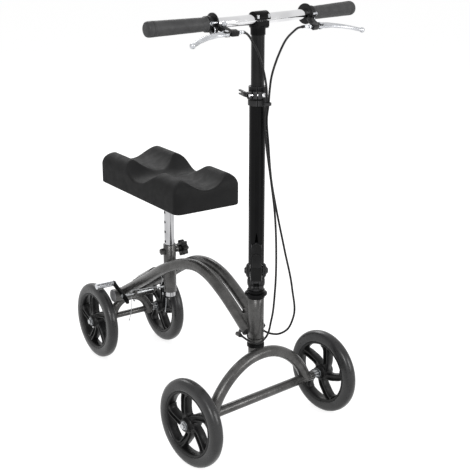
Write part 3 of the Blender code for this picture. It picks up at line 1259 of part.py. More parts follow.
def seat_knob():
    """Lobed knob on a stud that presses on the post."""
    start = BOSS_OUT + GAP
    outline = []
    for i in range(KNOB_LOBES * 4):
        angle = 2 * math.pi * i / (KNOB_LOBES * 4)
        radius = KNOB_RADIUS + KNOB_LOBE * math.cos(KNOB_LOBES * angle)
        outline.append((radius * math.cos(angle), radius * math.sin(angle)))
    head = start + KNOB_NECK
    lobes = plate(KNOB, outline, KNOB_THICKNESS, (0, 0, head + KNOB_THICKNESS / 2))
    top = head + KNOB_THICKNESS + KNOB_CAP
    boss = KNOB_NECK_RADIUS + KNOB_RIM
    stud = [(0, top), (KNOB_NECK_RADIUS, top), (boss, top - KNOB_RIM),
            (boss, head + KNOB_RIM), (KNOB_NECK_RADIUS, head + KNOB_RIM), (KNOB_NECK_RADIUS, start),
            (KNOB_STUD_RADIUS, start), (KNOB_STUD_RADIUS, POST_RADIUS + GAP), (0, POST_RADIUS + GAP)]
    part("seat_knob", BLACK_PLASTIC, lobes, join=(turned(KNOB, stud, sides=12),))


seat_sleeve()
seat_post()
seat_plate()
seat_pad()
seat_knob()


# Rear brakes

def rear_brakes():
    y, z = BRAKE_PIVOT
    outer = BRAKE_ARM_X + BRAKE_ARM_THICKNESS / 2 + GAP
    half = outer + BRAKE_NUT_HEIGHT
    rod_profile = [(0, half), (BRAKE_NUT_RADIUS, half), (BRAKE_NUT_RADIUS, outer), (BRAKE_PIN_RADIUS, outer),
                   (BRAKE_PIN_RADIUS, -outer), (BRAKE_NUT_RADIUS, -outer), (BRAKE_NUT_RADIUS, -half),
                   (0, -half)]
    part("brake_pivot_rod", STEEL, turned(FRAME, rod_profile, (0, y, z), TO_X, 12))
    for side in (-1, 1):
        brake_arm(side)


def brake_arm(side):
    """Arm about the pivot rod: wire anchor in front, pressing bar over the tyre behind."""
    frame = BRAKES[side]
    y, z = BRAKE_PIVOT
    roller = (BRAKE_ROLLER[0] - y, BRAKE_ROLLER[1] - z)
    link = plate(frame, capsule(BRAKE_TAIL, roller, BRAKE_ARM_HEIGHT / 2), BRAKE_ARM_THICKNESS,
                 (side * BRAKE_ARM_X, 0, 0), SIDEWAYS)
    inner = BRAKE_ARM_X - BRAKE_ARM_THICKNESS / 2
    near, far = sorted((side * ANCHOR_X, side * (inner + PAST)))
    block = box(frame, (near, *ANCHOR_LOW), (far, *ANCHOR_HIGH))
    through = 2 * BRAKE_ARM_X
    pivot = cylinder(frame, (0, 0, 0), (side * through, 0, 0), BRAKE_PIN_RADIUS + RUN_GAP, 10)
    start = BRAKE_ARM_X + BRAKE_ARM_THICKNESS / 2 + GAP
    screw = cylinder(frame, (0, *roller), (side * through, *roller), BRAKE_SCREW_RADIUS + GAP, 8)
    middle = (ANCHOR_LOW[0] + ANCHOR_HIGH[0]) / 2
    x = side * WIRE_X
    wire_hole = cylinder(frame, (x, middle, -THROUGH), (x, middle, THROUGH), WIRE_HOLE, 6)
    part("brake_arm_" + sided(side), BLACK_PAINT, link, join=(block,), cut=(pivot, screw, wire_hole))
    end = start + BRAKE_BAR_LENGTH
    screw_end = start - BRAKE_SCREW_DEPTH
    profile = [(0, end), (BRAKE_BAR_RADIUS - PAST, end), (BRAKE_BAR_RADIUS, end - PAST),
               (BRAKE_BAR_RADIUS, start), (BRAKE_SCREW_RADIUS, start), (BRAKE_SCREW_RADIUS, screw_end),
               (0, screw_end)]
    turn = (0, side * math.radians(90), 0)
    part("brake_bar_" + sided(side), ALLOY, turned(frame, profile, (0, *roller), turn, 12))


rear_brakes()


# Brake cables: points of each route are chosen by hand, in the frame of the main tubes

def cable_start(side):
    """Where a housing leaves its barrel adjuster, in the main tubes' frame at rest."""
    bpy.context.view_layer.update()
    local = Vector((side * (ADJUSTER_ALONG - ADJUSTER_LENGTH - GAP), -LEVER_PIVOT_OUT, 0))
    inward = Vector((-side * CABLE_RADIUS * 3, 0, 0))
    to_frame = FRAME.matrix_world.inverted() @ LEVER_PLANES[side].matrix_world
    return [to_frame @ local, to_frame @ (local + inward)]


def above(share):
    """Height of a cable between the height clamp and the handlebar."""
    return CABLE_CLAMP_HEIGHT + share * (BAR_HEIGHT - CABLE_CLAMP_HEIGHT)


def below(share):
    """Height of a cable between the guide ring and the frame's stop."""
    return GUIDE_PLACE[2] - share * (GUIDE_PLACE[2] - STOP_PLACE[2])


CABLE_RIGHT = [
    (-0.0409, -0.0371, above(0.7815)), (-0.0165, -0.0170, above(0.6689)), (-0.0060, -0.0230, above(0.3576)),
    (0.0062, -0.0300, above(0)), (0.0106, -0.0255, below(0)), (0.0080, -0.0240, below(0.0575)),
    (0.0090, -0.0275, below(0.1613)), (0.0135, -0.0350, below(0.3188)), (0.0178, -0.0430, below(0.4393)),
    (0.0215, -0.0458, below(0.6061)), (0.0205, -0.0445, below(0.7822)), (0.0145, -0.0402, below(0.9120)),
    (0.0030, -0.0340, below(0.9917)), (-0.0130, -0.0262, below(1.0176)), (-0.0245, -0.0130, below(1.0102)),
]
CABLE_LEFT = [
    (0.0423, -0.0531, above(0.7815)), (0.0294, -0.0443, above(0.6159)), (0.0175, -0.0365, above(0.3245)),
    (0.0128, -0.0290, above(0.0132)), (0.0158, -0.0227, below(0)), (0.0142, -0.0190, below(0.0575)),
    (0.0155, -0.0212, below(0.1613)), (0.0200, -0.0270, below(0.3188)), (0.0290, -0.0345, below(0.4393)),
    (0.0450, -0.0440, below(0.6061)), (0.0600, -0.0530, below(0.7822)), (0.0635, -0.0530, below(0.9064)),
    (0.0560, -0.0440, below(0.9713)), (0.0430, -0.0260, below(0.9972)), (0.0330, -0.0080, below(1.0009)),
]


def brake_cable(side, route):
    x, y, z = STOP_PLACE
    end = [(side * x, y - CABLE_RADIUS * 3, z), (side * x, y - GAP, z)]
    first = [tuple(p) for p in cable_start(side)]
    points = smooth_route(first + route + end, 3)
    part("brake_cable_" + sided(side), BLACK_PLASTIC, rod(FRAME, points, CABLE_RADIUS, 8))


brake_cable(-1, CABLE_RIGHT)
brake_cable(1, CABLE_LEFT)
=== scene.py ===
"""Looks of the knee walker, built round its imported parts."""

import json
from math import atan2, copysign, cos, degrees, hypot, pi, radians, sin, sqrt

import bmesh
import bpy
from mathutils import Matrix, Vector


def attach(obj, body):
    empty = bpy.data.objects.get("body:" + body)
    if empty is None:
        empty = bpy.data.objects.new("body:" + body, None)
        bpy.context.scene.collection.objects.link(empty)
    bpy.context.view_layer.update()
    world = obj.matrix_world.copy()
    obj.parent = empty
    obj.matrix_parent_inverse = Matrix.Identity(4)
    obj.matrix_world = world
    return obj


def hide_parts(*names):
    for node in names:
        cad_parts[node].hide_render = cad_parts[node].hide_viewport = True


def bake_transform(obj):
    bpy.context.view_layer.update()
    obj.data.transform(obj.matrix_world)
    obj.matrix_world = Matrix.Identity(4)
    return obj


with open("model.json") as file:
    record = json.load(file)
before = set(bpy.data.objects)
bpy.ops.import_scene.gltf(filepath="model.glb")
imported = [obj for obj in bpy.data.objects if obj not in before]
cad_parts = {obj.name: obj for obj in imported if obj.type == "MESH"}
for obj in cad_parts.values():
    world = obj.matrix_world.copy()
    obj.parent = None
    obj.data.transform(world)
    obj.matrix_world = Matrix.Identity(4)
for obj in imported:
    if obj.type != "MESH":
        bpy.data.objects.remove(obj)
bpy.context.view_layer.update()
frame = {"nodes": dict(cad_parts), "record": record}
NODES = frame["nodes"]


# Frames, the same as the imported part's. Lengths in them are in millimetres.

def shift(x, y, z):
    return Matrix.Translation((x, y, z))


def turn(angle, axis):
    return Matrix.Rotation(radians(angle), 4, axis)


STEER_DEGREES = 6.86
FOLD_Z = 405
BAR_Z, BAR_OFFSET, BAR_BEND, BAR_LEAN = 962, 10.5, 85, 4.9
SEAT_Y, KNOB_Z = 380.7, 344
BRAKE_PIVOT = (514, 191)
LEVER_PIVOT = (45, -48.4)
CLAMP_BOLT = (-22, 806)
FRONT_AXLE = (-18.1, 101.6)
REAR_AXLE = (599.2, 101.6)
BEAM = (582, 168)
BEAM_RADIUS = 17.25
TUBE_RADIUS, TUBE_NOSE_X, TUBE_REAR_X = 13.5, 17.5, 29.7
REAR_ARCH_X, REAR_ARCH_RADIUS = 55.1, 11.1
FORK_RADIUS = 13.3
LATCH_PIVOT = (-21.5, -33)
CABLE_STOP_Z = 247.5

FRAME = Matrix.Scale(0.001, 4) @ shift(-9.3, -278.24, 0)
STEER = FRAME @ turn(STEER_DEGREES, "Z")
FOLD = STEER @ shift(0, 0, FOLD_Z) @ turn(-41.2, "Z")
COLUMN = FOLD @ shift(0, 0, -FOLD_Z)
LATCH = FOLD @ shift(0, *LATCH_PIVOT)
CLAMP = COLUMN @ shift(-17, *CLAMP_BOLT)
BAR_END = {s: STEER @ shift(BAR_OFFSET + s * BAR_BEND, 0, BAR_Z) @ turn(s * BAR_LEAN, "Z") for s in (-1, 1)}
PLANE = {s: BAR_END[s] @ turn({-1: 18, 1: 26}[s], "X") for s in (-1, 1)}
LEVER = {s: PLANE[s] @ shift(s * LEVER_PIVOT[0], LEVER_PIVOT[1], 0) for s in (-1, 1)}
SEAT = FRAME @ shift(0, SEAT_Y, 0)
KNOB = SEAT @ shift(0, 0, KNOB_Z) @ turn(90, "Y")
BRAKE = FRAME @ shift(0, *BRAKE_PIVOT)
OUT_X = {s: turn(s * 90, "Y") for s in (-1, 1)}
SIDEWAYS = turn(90, "Z") @ turn(90, "X")
MIRROR = {s: Matrix.Diagonal((s, 1, 1, 1)) for s in (-1, 1)}
SIDE = {-1: "right", 1: "left"}


# Objects and meshes

def placed(name, data):
    """A new object in the scene."""
    obj = bpy.data.objects.new(name, data)
    bpy.context.scene.collection.objects.link(obj)
    return obj


def mesh_of(bm, name):
    """The mesh in the making, made."""
    mesh = bpy.data.meshes.new(name)
    bm.to_mesh(mesh)
    bm.free()
    return mesh


# Camera, floor and light

def add_camera():
    data = bpy.data.cameras.new("camera")
    camera = placed("camera", data)
    yaw, pitch, roll = (radians(a) for a in (-34.32, 18.21, 0.17))
    back = Vector((sin(yaw) * cos(pitch), -cos(yaw) * cos(pitch), sin(pitch)))
    right = Vector((cos(yaw), sin(yaw), 0))
    up = back.cross(right)
    rolled = cos(roll) * right + sin(roll) * up
    rise = back.cross(rolled)
    place = FRAME @ Vector((-1333.58, -1890.52, 1248.37))
    rows = [(rolled[i], rise[i], back[i], place[i]) for i in range(3)]
    camera.matrix_world = Matrix((*rows, (0, 0, 0, 1)))
    pixels, focal, centre = 470, 1097.15, (240.4, 235.36)
    data.sensor_width = 36
    data.sensor_fit = "HORIZONTAL"
    data.lens = focal / pixels * data.sensor_width
    data.shift_x = -(centre[0] - pixels / 2) / pixels
    data.shift_y = (centre[1] - pixels / 2) / pixels
    data.clip_end = 50
    bpy.context.scene.camera = camera
    bpy.context.scene.view_settings.view_transform = "Standard"


def area_light(name, place, aim, size, power):
    data = bpy.data.lights.new(name, "AREA")
    data.shape = "RECTANGLE"
    data.size, data.size_y = size
    data.energy = power
    light = placed(name, data)
    light.location = place
    light.rotation_euler = (Vector(aim) - Vector(place)).to_track_quat("-Z", "Y").to_euler()


def fed(tree, node, inputs):
    """The node, once its inputs have taken a value each or a link from another node's output."""
    for name, value in inputs.items():
        if isinstance(value, bpy.types.NodeSocket):
            tree.links.new(value, node.inputs[name])
        else:
            node.inputs[name].default_value = value
    return node


def shading(tree, kind, inputs, **settings):
    """A new shader node with its settings and inputs."""
    node = tree.nodes.new(kind)
    for name, value in settings.items():
        setattr(node, name, value)
    return fed(tree, node, inputs)


def white_behind(tree, plain, seen):
    """Use one shader for light, and another where the camera, gloss or glass looks at it."""
    rays = tree.nodes.new("ShaderNodeLightPath").outputs
    factor = rays["Is Camera Ray"]
    for kind in ("Is Glossy Ray", "Is Transmission Ray"):
        factor = shading(tree, "ShaderNodeMath", {0: factor, 1: rays[kind]}, operation="MAXIMUM").outputs[0]
    return shading(tree, "ShaderNodeMixShader", {"Fac": factor, 1: plain, 2: seen}).outputs[0]


def add_world():
    world = bpy.data.worlds.new("studio")
    bpy.context.scene.world = world
    world.use_nodes = True
    tree = world.node_tree
    tree.nodes.clear()
    sky, plain = [shading(tree, "ShaderNodeBackground", {"Color": (1, 1, 1, 1), "Strength": power}).outputs[0]
                  for power in (0.5, 1)]
    shading(tree, "ShaderNodeOutputWorld", {"Surface": white_behind(tree, sky, plain)})


def add_floor():
    bm = bmesh.new()
    bmesh.ops.create_grid(bm, x_segments=2, y_segments=2, size=40)
    mesh = mesh_of(bm, "floor")
    floor = placed("floor", mesh)
    material = bpy.data.materials.new("floor")
    material.use_nodes = True
    tree = material.node_tree
    tree.nodes.clear()
    paper = shading(tree, "ShaderNodeBsdfDiffuse", {"Color": (0.5, 0.5, 0.5, 1)}).outputs[0]
    glow = shading(tree, "ShaderNodeEmission", {"Strength": 0.74}).outputs[0]
    both = shading(tree, "ShaderNodeAddShader", {0: paper, 1: glow}).outputs[0]
    shading(tree, "ShaderNodeOutputMaterial", {"Surface": white_behind(tree, paper, both)})
    mesh.materials.append(material)


add_camera()
add_world()
add_floor()
area_light("key", (-2.3, -2.9, 2.3), (0, 0, 0.45), (1.6, 1.6), 76)
area_light("fill", (1.8, -3.1, 1.5), (0, 0, 0.45), (1.2, 1.2), 40)
area_light("back", (0.6, 2.8, 2.6), (0, 0, 0.5), (2.4, 1.2), 50)


# Materials

LOOKS = {}


def place_in(tree):
    """Object coordinates, from one node in each tree."""
    place = tree.nodes.get("place") or tree.nodes.new("ShaderNodeTexCoord")
    place.name = "place"
    return place.outputs["Object"]


def noise(tree, scale, detail=3):
    inputs = {"Scale": scale, "Detail": detail, "Vector": place_in(tree)}
    return shading(tree, "ShaderNodeTexNoise", inputs).outputs["Fac"]


def cells(tree, scale):
    inputs = {"Scale": scale, "Vector": place_in(tree)}
    return shading(tree, "ShaderNodeTexVoronoi", inputs, feature="SMOOTH_F1").outputs["Distance"]


def spread(tree, value, low, high, start=0.35, end=0.65):
    inputs = {"From Min": start, "From Max": end, "To Min": low, "To Max": high, "Value": value}
    return shading(tree, "ShaderNodeMapRange", inputs).outputs["Result"]


def mixed(tree, factor, first, second):
    made = shading(tree, "ShaderNodeMix", {"Factor": factor}, data_type="RGBA")
    for socket, value in (("A", first), ("B", second)):
        target = [i for i in made.inputs if i.name == socket and i.type == "RGBA"][0]
        if isinstance(value, bpy.types.NodeSocket):
            tree.links.new(value, target)
        else:
            target.default_value = (*value, 1)
    return [o for o in made.outputs if o.type == "RGBA"][0]


def look(name, low, high, rough, metallic=0, coat=0, mottle=60, grain=2600, depth=0.00002, second=None,
         second_depth=0, edge=None, specular=0.5):
    """A finish: mottled colour, uneven gloss, a fine grain and, where asked, a coarser one and lighter edges:
    wear on black_paint, a painted highlight on edged_black.
    """
    material = bpy.data.materials.new(name)
    material.use_nodes = True
    tree = material.node_tree
    colour = mixed(tree, spread(tree, noise(tree, mottle), 0, 1), low, high)
    # Lighter colour on sharp edges: edge wear on black_paint, a painted highlight on edged_black.
    if edge:
        bend = tree.nodes.new("ShaderNodeNewGeometry").outputs["Pointiness"]
        colour = mixed(tree, spread(tree, bend, 0, 1, 0.53, 0.6), colour, edge)
    gloss = spread(tree, noise(tree, mottle * 3.1), *rough)
    fine = {"Strength": 1, "Distance": depth, "Height": noise(tree, grain, 2)}
    if second:
        coarse = {"Strength": 1, "Distance": second_depth, "Height": cells(tree, second)}
        fine["Normal"] = shading(tree, "ShaderNodeBump", coarse).outputs["Normal"]
    relief = shading(tree, "ShaderNodeBump", fine).outputs["Normal"]
    fed(tree, tree.nodes["Principled BSDF"], {"Base Color": colour, "Roughness": gloss, "Metallic": metallic,
                                              "Coat Weight": coat, "Coat Roughness": 0.12,
                                              "Specular IOR Level": specular, "Normal": relief})
    LOOKS[name] = material


look("frame_paint", (0.058, 0.057, 0.056), (0.094, 0.092, 0.09), (0.22, 0.32), metallic=0.55, coat=0.1,
     mottle=45, depth=0.00003, second=620, second_depth=0.00022, specular=0.3)
look("black_paint", (0.0022, 0.0022, 0.0024), (0.004, 0.004, 0.0043), (0.2, 0.3), mottle=30, grain=900,
     edge=(0.008, 0.008, 0.0084), specular=0.07)
# edged_black: black paint whose light edge colour is a painted highlight along its edges.
look("edged_black", (0.003, 0.003, 0.0032), (0.0052, 0.0052, 0.0055), (0.2, 0.3), mottle=30, grain=900,
     edge=(0.06, 0.06, 0.062), specular=0.14)
# post_chrome: the same chrome made darker, a painted dark reflection on the seat post.
look("post_chrome", (0.36, 0.36, 0.37), (0.46, 0.46, 0.47), (0.06, 0.14), metallic=1, mottle=25, grain=700,
     depth=0.000004)
look("satin_black", (0.006, 0.006, 0.0062), (0.0098, 0.0098, 0.0101), (0.26, 0.36), mottle=30, grain=900,
     specular=0.16)
look("black_plastic", (0.0045, 0.0045, 0.0047), (0.0075, 0.0075, 0.0078), (0.34, 0.46), mottle=40, grain=3500,
     depth=0.00004, specular=0.22)
look("tyre_rubber", (0.014, 0.014, 0.0145), (0.024, 0.024, 0.025), (0.24, 0.36), mottle=28, grain=2400,
     depth=0.00004, specular=0.4)
look("grip_rubber", (0.04, 0.04, 0.041), (0.056, 0.056, 0.057), (0.46, 0.6), mottle=60, grain=3000,
     depth=0.00006, specular=0.25)
look("pad_skin", (0.0148, 0.0148, 0.0151), (0.0196, 0.0196, 0.0199), (0.5, 0.6), mottle=22, grain=2200,
     depth=0.00008, second=900, second_depth=0.00008, specular=0.06)
look("chrome", (0.62, 0.62, 0.63), (0.72, 0.72, 0.73), (0.05, 0.12), metallic=1, mottle=25, grain=700,
     depth=0.000004)
look("steel", (0.4, 0.41, 0.42), (0.52, 0.53, 0.54), (0.24, 0.38), metallic=1, mottle=90, grain=3000)
look("alloy", (0.44, 0.45, 0.47), (0.58, 0.59, 0.61), (0.2, 0.34), metallic=1, mottle=50, grain=2500)
look("hub_grey", (0.16, 0.17, 0.18), (0.24, 0.25, 0.26), (0.35, 0.48), metallic=0.6, mottle=80, grain=3000)
look("black_bolt", (0.012, 0.012, 0.013), (0.022, 0.022, 0.023), (0.22, 0.34), metallic=0.7, mottle=60,
     specular=0.3)
look("plug_grey", (0.2, 0.2, 0.21), (0.26, 0.26, 0.27), (0.4, 0.52), mottle=40, depth=0.00004)


# Shapes, each added to a mesh in the making

def ring_faces(bm, a, b):
    for i in range(len(a)):
        j = (i + 1) % len(a)
        bm.faces.new((a[i], a[j], b[j], b[i]))


def tube_faces(bm, rings):
    """Join rings of corners in a row and close both ends."""
    for a, b in zip(rings, rings[1:]):
        ring_faces(bm, a, b)
    bm.faces.new(list(reversed(rings[0])))
    bm.faces.new(rings[-1])


def turned(bm, profile, matrix=Matrix(), sides=48):
    """Turn (radius, height) points about the local Z axis. A profile with both ends off the axis is closed."""
    rings = []
    for radius, height in profile:
        angles = [2 * pi * i / sides for i in range(sides if radius else 1)]
        rings.append([bm.verts.new(matrix @ Vector((radius * cos(a), radius * sin(a), height)))
                      for a in angles])
    pairs = list(zip(rings, rings[1:]))
    if profile[0][0] and profile[-1][0]:
        pairs.append((rings[-1], rings[0]))
    for a, b in pairs:
        if len(a) == 1 and len(b) == 1:
            continue
        if len(a) == 1 or len(b) == 1:
            tip, ring = (a[0], b) if len(a) == 1 else (b[0], a)
            for i in range(len(ring)):
                bm.faces.new((tip, ring[i], ring[(i + 1) % len(ring)]))
        else:
            ring_faces(bm, a, b)


def smooth_line(points, per_span=8):
    """A smooth curve through the points, with tangents weighted by the spans' lengths."""
    points = [Vector(p) for p in points]
    spans = [(b - a).length for a, b in zip(points, points[1:])]
    slopes = [(b - a) / h for a, b, h in zip(points, points[1:], spans)]
    middle = [(g * d + h * c) / (g + h) for c, d, h, g in zip(slopes, slopes[1:], spans[1:], spans)]
    tangents = [slopes[0], *middle, slopes[-1]]
    line = []
    for a, b, m, n, h in zip(points, points[1:], tangents, tangents[1:], spans):
        for i in range(per_span):
            t = i / per_span
            line.append(a + (b - a) * (t * t * (3 - 2 * t)) + ((1 - t) * m - t * n) * (h * t * (1 - t)))
    line.append(points[-1])
    return line


def swept(bm, points, radius, matrix=Matrix(), sides=24, looped=False):
    """A round bar along a line. radius is one value, or one for each point."""
    points = [Vector(p) for p in points]
    radii = radius if isinstance(radius, (list, tuple)) else [radius] * len(points)
    count = len(points)
    angles = [2 * pi * k / sides for k in range(sides)]
    side = None
    rings = []
    for i, point in enumerate(points):
        if looped:
            tangent = (points[(i + 1) % count] - points[i - 1]).normalized()
        else:
            tangent = (points[min(i + 1, count - 1)] - points[max(i - 1, 0)]).normalized()
        if side is None:
            side = tangent.orthogonal().normalized()
        side = (side - tangent * side.dot(tangent)).normalized()
        other = tangent.cross(side)
        rings.append([bm.verts.new(matrix @ (point + radii[i] * (side * cos(a) + other * sin(a))))
                      for a in angles])
    if looped:
        for a, b in zip(rings, rings[1:] + rings[:1]):
            ring_faces(bm, a, b)
    else:
        tube_faces(bm, rings)


def added(bm, other, matrix=Matrix()):
    other.transform(matrix)
    mesh = mesh_of(other, "part")
    bm.from_mesh(mesh)
    bpy.data.meshes.remove(mesh)


def rounded(bm, other, edges, matrix, bevel, segments):
    """Round edges of another mesh at its size in metres, where the tool works best, and add it."""
    other.transform(Matrix.Scale(0.001, 4))
    bmesh.ops.bevel(other, geom=edges, offset=bevel / 1000, segments=segments, profile=0.5, affect="EDGES")
    added(bm, other, matrix @ Matrix.Scale(1000, 4))


def block(bm, low, high, matrix=Matrix(), bevel=1, segments=2):
    """A box with rounded edges."""
    low, high = Vector(low), Vector(high)
    other = bmesh.new()
    bmesh.ops.create_cube(other, size=1)
    bmesh.ops.scale(other, vec=high - low, verts=other.verts)
    bmesh.ops.translate(other, vec=(low + high) / 2, verts=other.verts)
    rounded(bm, other, other.edges[:], matrix, bevel, segments)


def extruded(bm, outline, low, high, matrix=Matrix(), bevel=0.5, segments=2):
    """A flat outline given a thickness along local Z, with rounded rims."""
    other = bmesh.new()
    face = other.faces.new([other.verts.new((x, y, low)) for x, y in outline])
    made = bmesh.ops.extrude_face_region(other, geom=[face])
    bmesh.ops.translate(other, vec=(0, 0, high - low),
                        verts=[v for v in made["geom"] if isinstance(v, bmesh.types.BMVert)])
    bmesh.ops.recalc_face_normals(other, faces=other.faces)
    if bevel:
        rims = [e for e in other.edges if abs(e.verts[0].co.z - e.verts[1].co.z) < 1e-7]
        rounded(bm, other, rims, matrix, bevel, segments)
    else:
        added(bm, other, matrix)


def arc(centre, radius, first, last, count):
    steps = [radians(first + (last - first) * i / (count - 1)) for i in range(count)]
    return [(centre[0] + radius * cos(a), centre[1] + radius * sin(a)) for a in steps]


def hexagon(radius):
    return arc((0, 0), radius, 0, 300, 6)


def piece(name, bm, look_name, body, replaces=(), sharp=35):
    """Finish a mesh in the making as a piece that rides on a body, or on none."""
    bmesh.ops.remove_doubles(bm, verts=bm.verts, dist=1e-7)
    bmesh.ops.recalc_face_normals(bm, faces=bm.faces)
    mesh = mesh_of(bm, name)
    mesh.shade_smooth()
    mesh.set_sharp_from_angle(angle=radians(sharp))
    mesh.materials.append(LOOKS[look_name])
    obj = placed(name, mesh)
    if body:
        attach(obj, body)
    if replaces:
        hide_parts(*replaces)
    return obj


# Carried-over nodes take their finish from their slot

for entry in frame["record"]["subparts"]:
    obj = NODES[entry["node"]]
    obj.data.materials.clear()
    obj.data.materials.append(LOOKS[entry["material_slot"]])


# Helpers for carving, straight bars and welds

def carved(bm, *tools):
    """Cut meshes in the making from another."""
    objects = []
    for made in (bm, *tools):
        bmesh.ops.remove_doubles(made, verts=made.verts, dist=1e-7)
        bmesh.ops.recalc_face_normals(made, faces=made.faces)
        objects.append(placed("carving", mesh_of(made, "carving")))
    for cutter in objects[1:]:
        cut = objects[0].modifiers.new("cut", "BOOLEAN")
        cut.operation = "DIFFERENCE"
        cut.solver = "EXACT"
        cut.object = cutter
    bpy.context.view_layer.update()
    result = bmesh.new()
    result.from_object(objects[0], bpy.context.evaluated_depsgraph_get())
    for obj in objects:
        bpy.data.objects.remove(obj)
    return result


def tool(draw, *values, **named):
    made = bmesh.new()
    draw(made, *values, **named)
    return made


def aimed(start, end):
    """Frame at start whose Z axis points at end."""
    way = (Vector(end) - Vector(start)).to_track_quat("Z", "Y").to_matrix().to_4x4()
    return Matrix.Translation(Vector(start)) @ way


def bar(bm, start, end, radius, matrix=Matrix(), sides=32, rim=0.5, bore=0):
    """A straight round bar or tube with rounded rims."""
    length = (Vector(end) - Vector(start)).length
    outside = [(radius - rim, 0), (radius - 0.3 * rim, 0.3 * rim), (radius, rim), (radius, length - rim),
               (radius - 0.3 * rim, length - 0.3 * rim), (radius - rim, length)]
    profile = outside + [(bore, length), (bore, 0)] if bore else [(0, 0), *outside, (0, length)]
    turned(bm, profile, matrix @ aimed(start, end), sides)


def bead(bm, points, matrix=Matrix(), size=1.9, looped=False):
    """A weld bead with ripples along a line."""
    radii = [size * (0.86 + 0.26 * (i % 2)) for i in range(len(points))]
    swept(bm, points, radii, matrix, 8, looped=looped)


def weld(bm, start, way, radius, target, matrix=Matrix(), size=1.9, count=44):
    """A bead where a tube that runs along way meets a round target, given as point, axis and radius."""
    start, way = Vector(start), Vector(way).normalized()
    point, axis, reach = Vector(target[0]), Vector(target[1]).normalized(), target[2]
    across = way.orthogonal().normalized()
    other = way.cross(across)
    found = []
    for k in range(count):
        angle = 2 * pi * k / count
        base = start + radius * (across * cos(angle) + other * sin(angle))
        off = base - point
        off -= axis * off.dot(axis)
        run = way - axis * way.dot(axis)
        a, b, c = run.dot(run), 2 * off.dot(run), off.dot(off) - reach * reach
        room = b * b - 4 * a * c
        found.append(base + way * ((-b - sqrt(room)) / (2 * a)) if room > 0 else None)
    if None in found:
        first = next(i for i in range(count) if found[i - 1] is None and found[i] is not None)
        found = found[first:] + found[:first]
        bead(bm, found[:found.index(None)], matrix, size)
    else:
        bead(bm, found, matrix, size, looped=True)


def mirrored(half):
    """A profile completed with its mirror image in height."""
    image = [(r, -z) for r, z in reversed(half)]
    return half + (image if half[-1][1] else image[1:])


def capsule(first, second, radius, count=10):
    """The outline of a link with round ends."""
    heading = degrees(atan2(second[1] - first[1], second[0] - first[0]))
    return (arc(second, radius, heading - 90, heading + 90, count)
            + arc(first, radius, heading + 90, heading + 270, count))


def hex_head(bm, matrix, radius=7, height=4.5, washer=8.5):
    """A washer and a hexagon bolt head on local Z."""
    turned(bm, [(3, 0), (washer - 0.3, 0), (washer, 0.3), (washer, 0.9), (washer - 0.3, 1.2), (3, 1.2)], matrix,
           32)
    extruded(bm, hexagon(radius), 1.2, 1.2 + height, matrix, 0.4)
    turned(bm, [(0, 1.2 + height), (radius * 0.8, 1.2 + height), (radius * 0.72, 1.6 + height),
                (0, 1.7 + height)], matrix, 32)


def socket_head(bm, matrix, radius=4.2, height=4.2):
    """A socket cap screw on local Z, its head dished for a key."""
    turned(bm, [(0, 0), (radius, 0), (radius, height - 0.5), (radius - 0.5, height), (radius * 0.56, height),
                (radius * 0.52, height - 2.2), (0, height - 2.4)], matrix, 24)


# Wheels

WHEELS = {
    "front_right": (-1, STEER @ shift(-205.8, *FRONT_AXLE)),
    "front_left": (1, STEER @ shift(205.8, *FRONT_AXLE)),
    "rear_right": (-1, FRAME @ shift(-101.3, *REAR_AXLE)),
    "rear_left": (1, FRAME @ shift(101.3, *REAR_AXLE)),
}
RIM = 76
FIRST_SPOKE = 37.6
SPOKE_PITCH = 72


def spoke_angle(radius):
    """Place of a spoke's middle, in degrees, by radius."""
    known = [(14.5, 18), (22, 15), (31, 9), (45, 0), (60, -5.5), (75, -12)]
    for (r0, a0), (r1, a1) in zip(known, known[1:]):
        if radius <= r1:
            return a0 + (a1 - a0) * (radius - r0) / (r1 - r0)
    return known[-1][1]


def spoke(bm, index, matrix):
    """One spoke: two ribs with a deep channel between them, on both faces."""
    start = FIRST_SPOKE + SPOKE_PITCH * index
    rings = []
    for i in range(25):
        share = i / 24
        radius = 13.5 + 60 * share
        place, further = [Vector((r, 0, 0)) for r in (radius, radius + 0.5)]
        for point in (place, further):
            point.rotate(Matrix.Rotation(radians(start + spoke_angle(point.length)), 3, "Z"))
        along = (further - place).normalized()
        across = Vector((-along.y, along.x, 0))
        flare = 4.5 * max(0, 1 - share * 7) ** 2 + 7.5 * max(0, 1 - (1 - share) * 6) ** 2
        half = 7.2 + share + flare
        top = 10.5
        depth = 5.5 * min(1, max(0, (share - 0.16) * 14), max(0, (0.93 - share) * 14)) ** 0.5
        rib = half * 0.62
        profile = [(-half, 0), (-half * 0.97, top - 1.2), (-half * 0.86, top), (-rib * 0.88, top),
                   (-rib * 0.62, top - depth), (rib * 0.62, top - depth), (rib * 0.88, top), (half * 0.86, top),
                   (half * 0.97, top - 1.2), (half, 0)]
        loop = profile + [(x, -z) for x, z in reversed(profile[1:-1])]
        rings.append([bm.verts.new(matrix @ (place + across * x + Vector((0, 0, z)))) for x, z in loop])
    tube_faces(bm, rings)


def tyre_profile():
    """Outside of a solid tyre, from one bead round the tread to the other."""
    half = [(RIM + 0.3, 11.8), (RIM + 1.6, 13.3), (RIM + 4.2, 13.9), (RIM + 9, 14.1), (RIM + 14, 13.8),
            (RIM + 18.5, 12.6), (RIM + 21.5, 10.8), (RIM + 23.8, 8.2), (RIM + 25.1, 4.6), (RIM + 25.6, 0)]
    return mirrored(half)


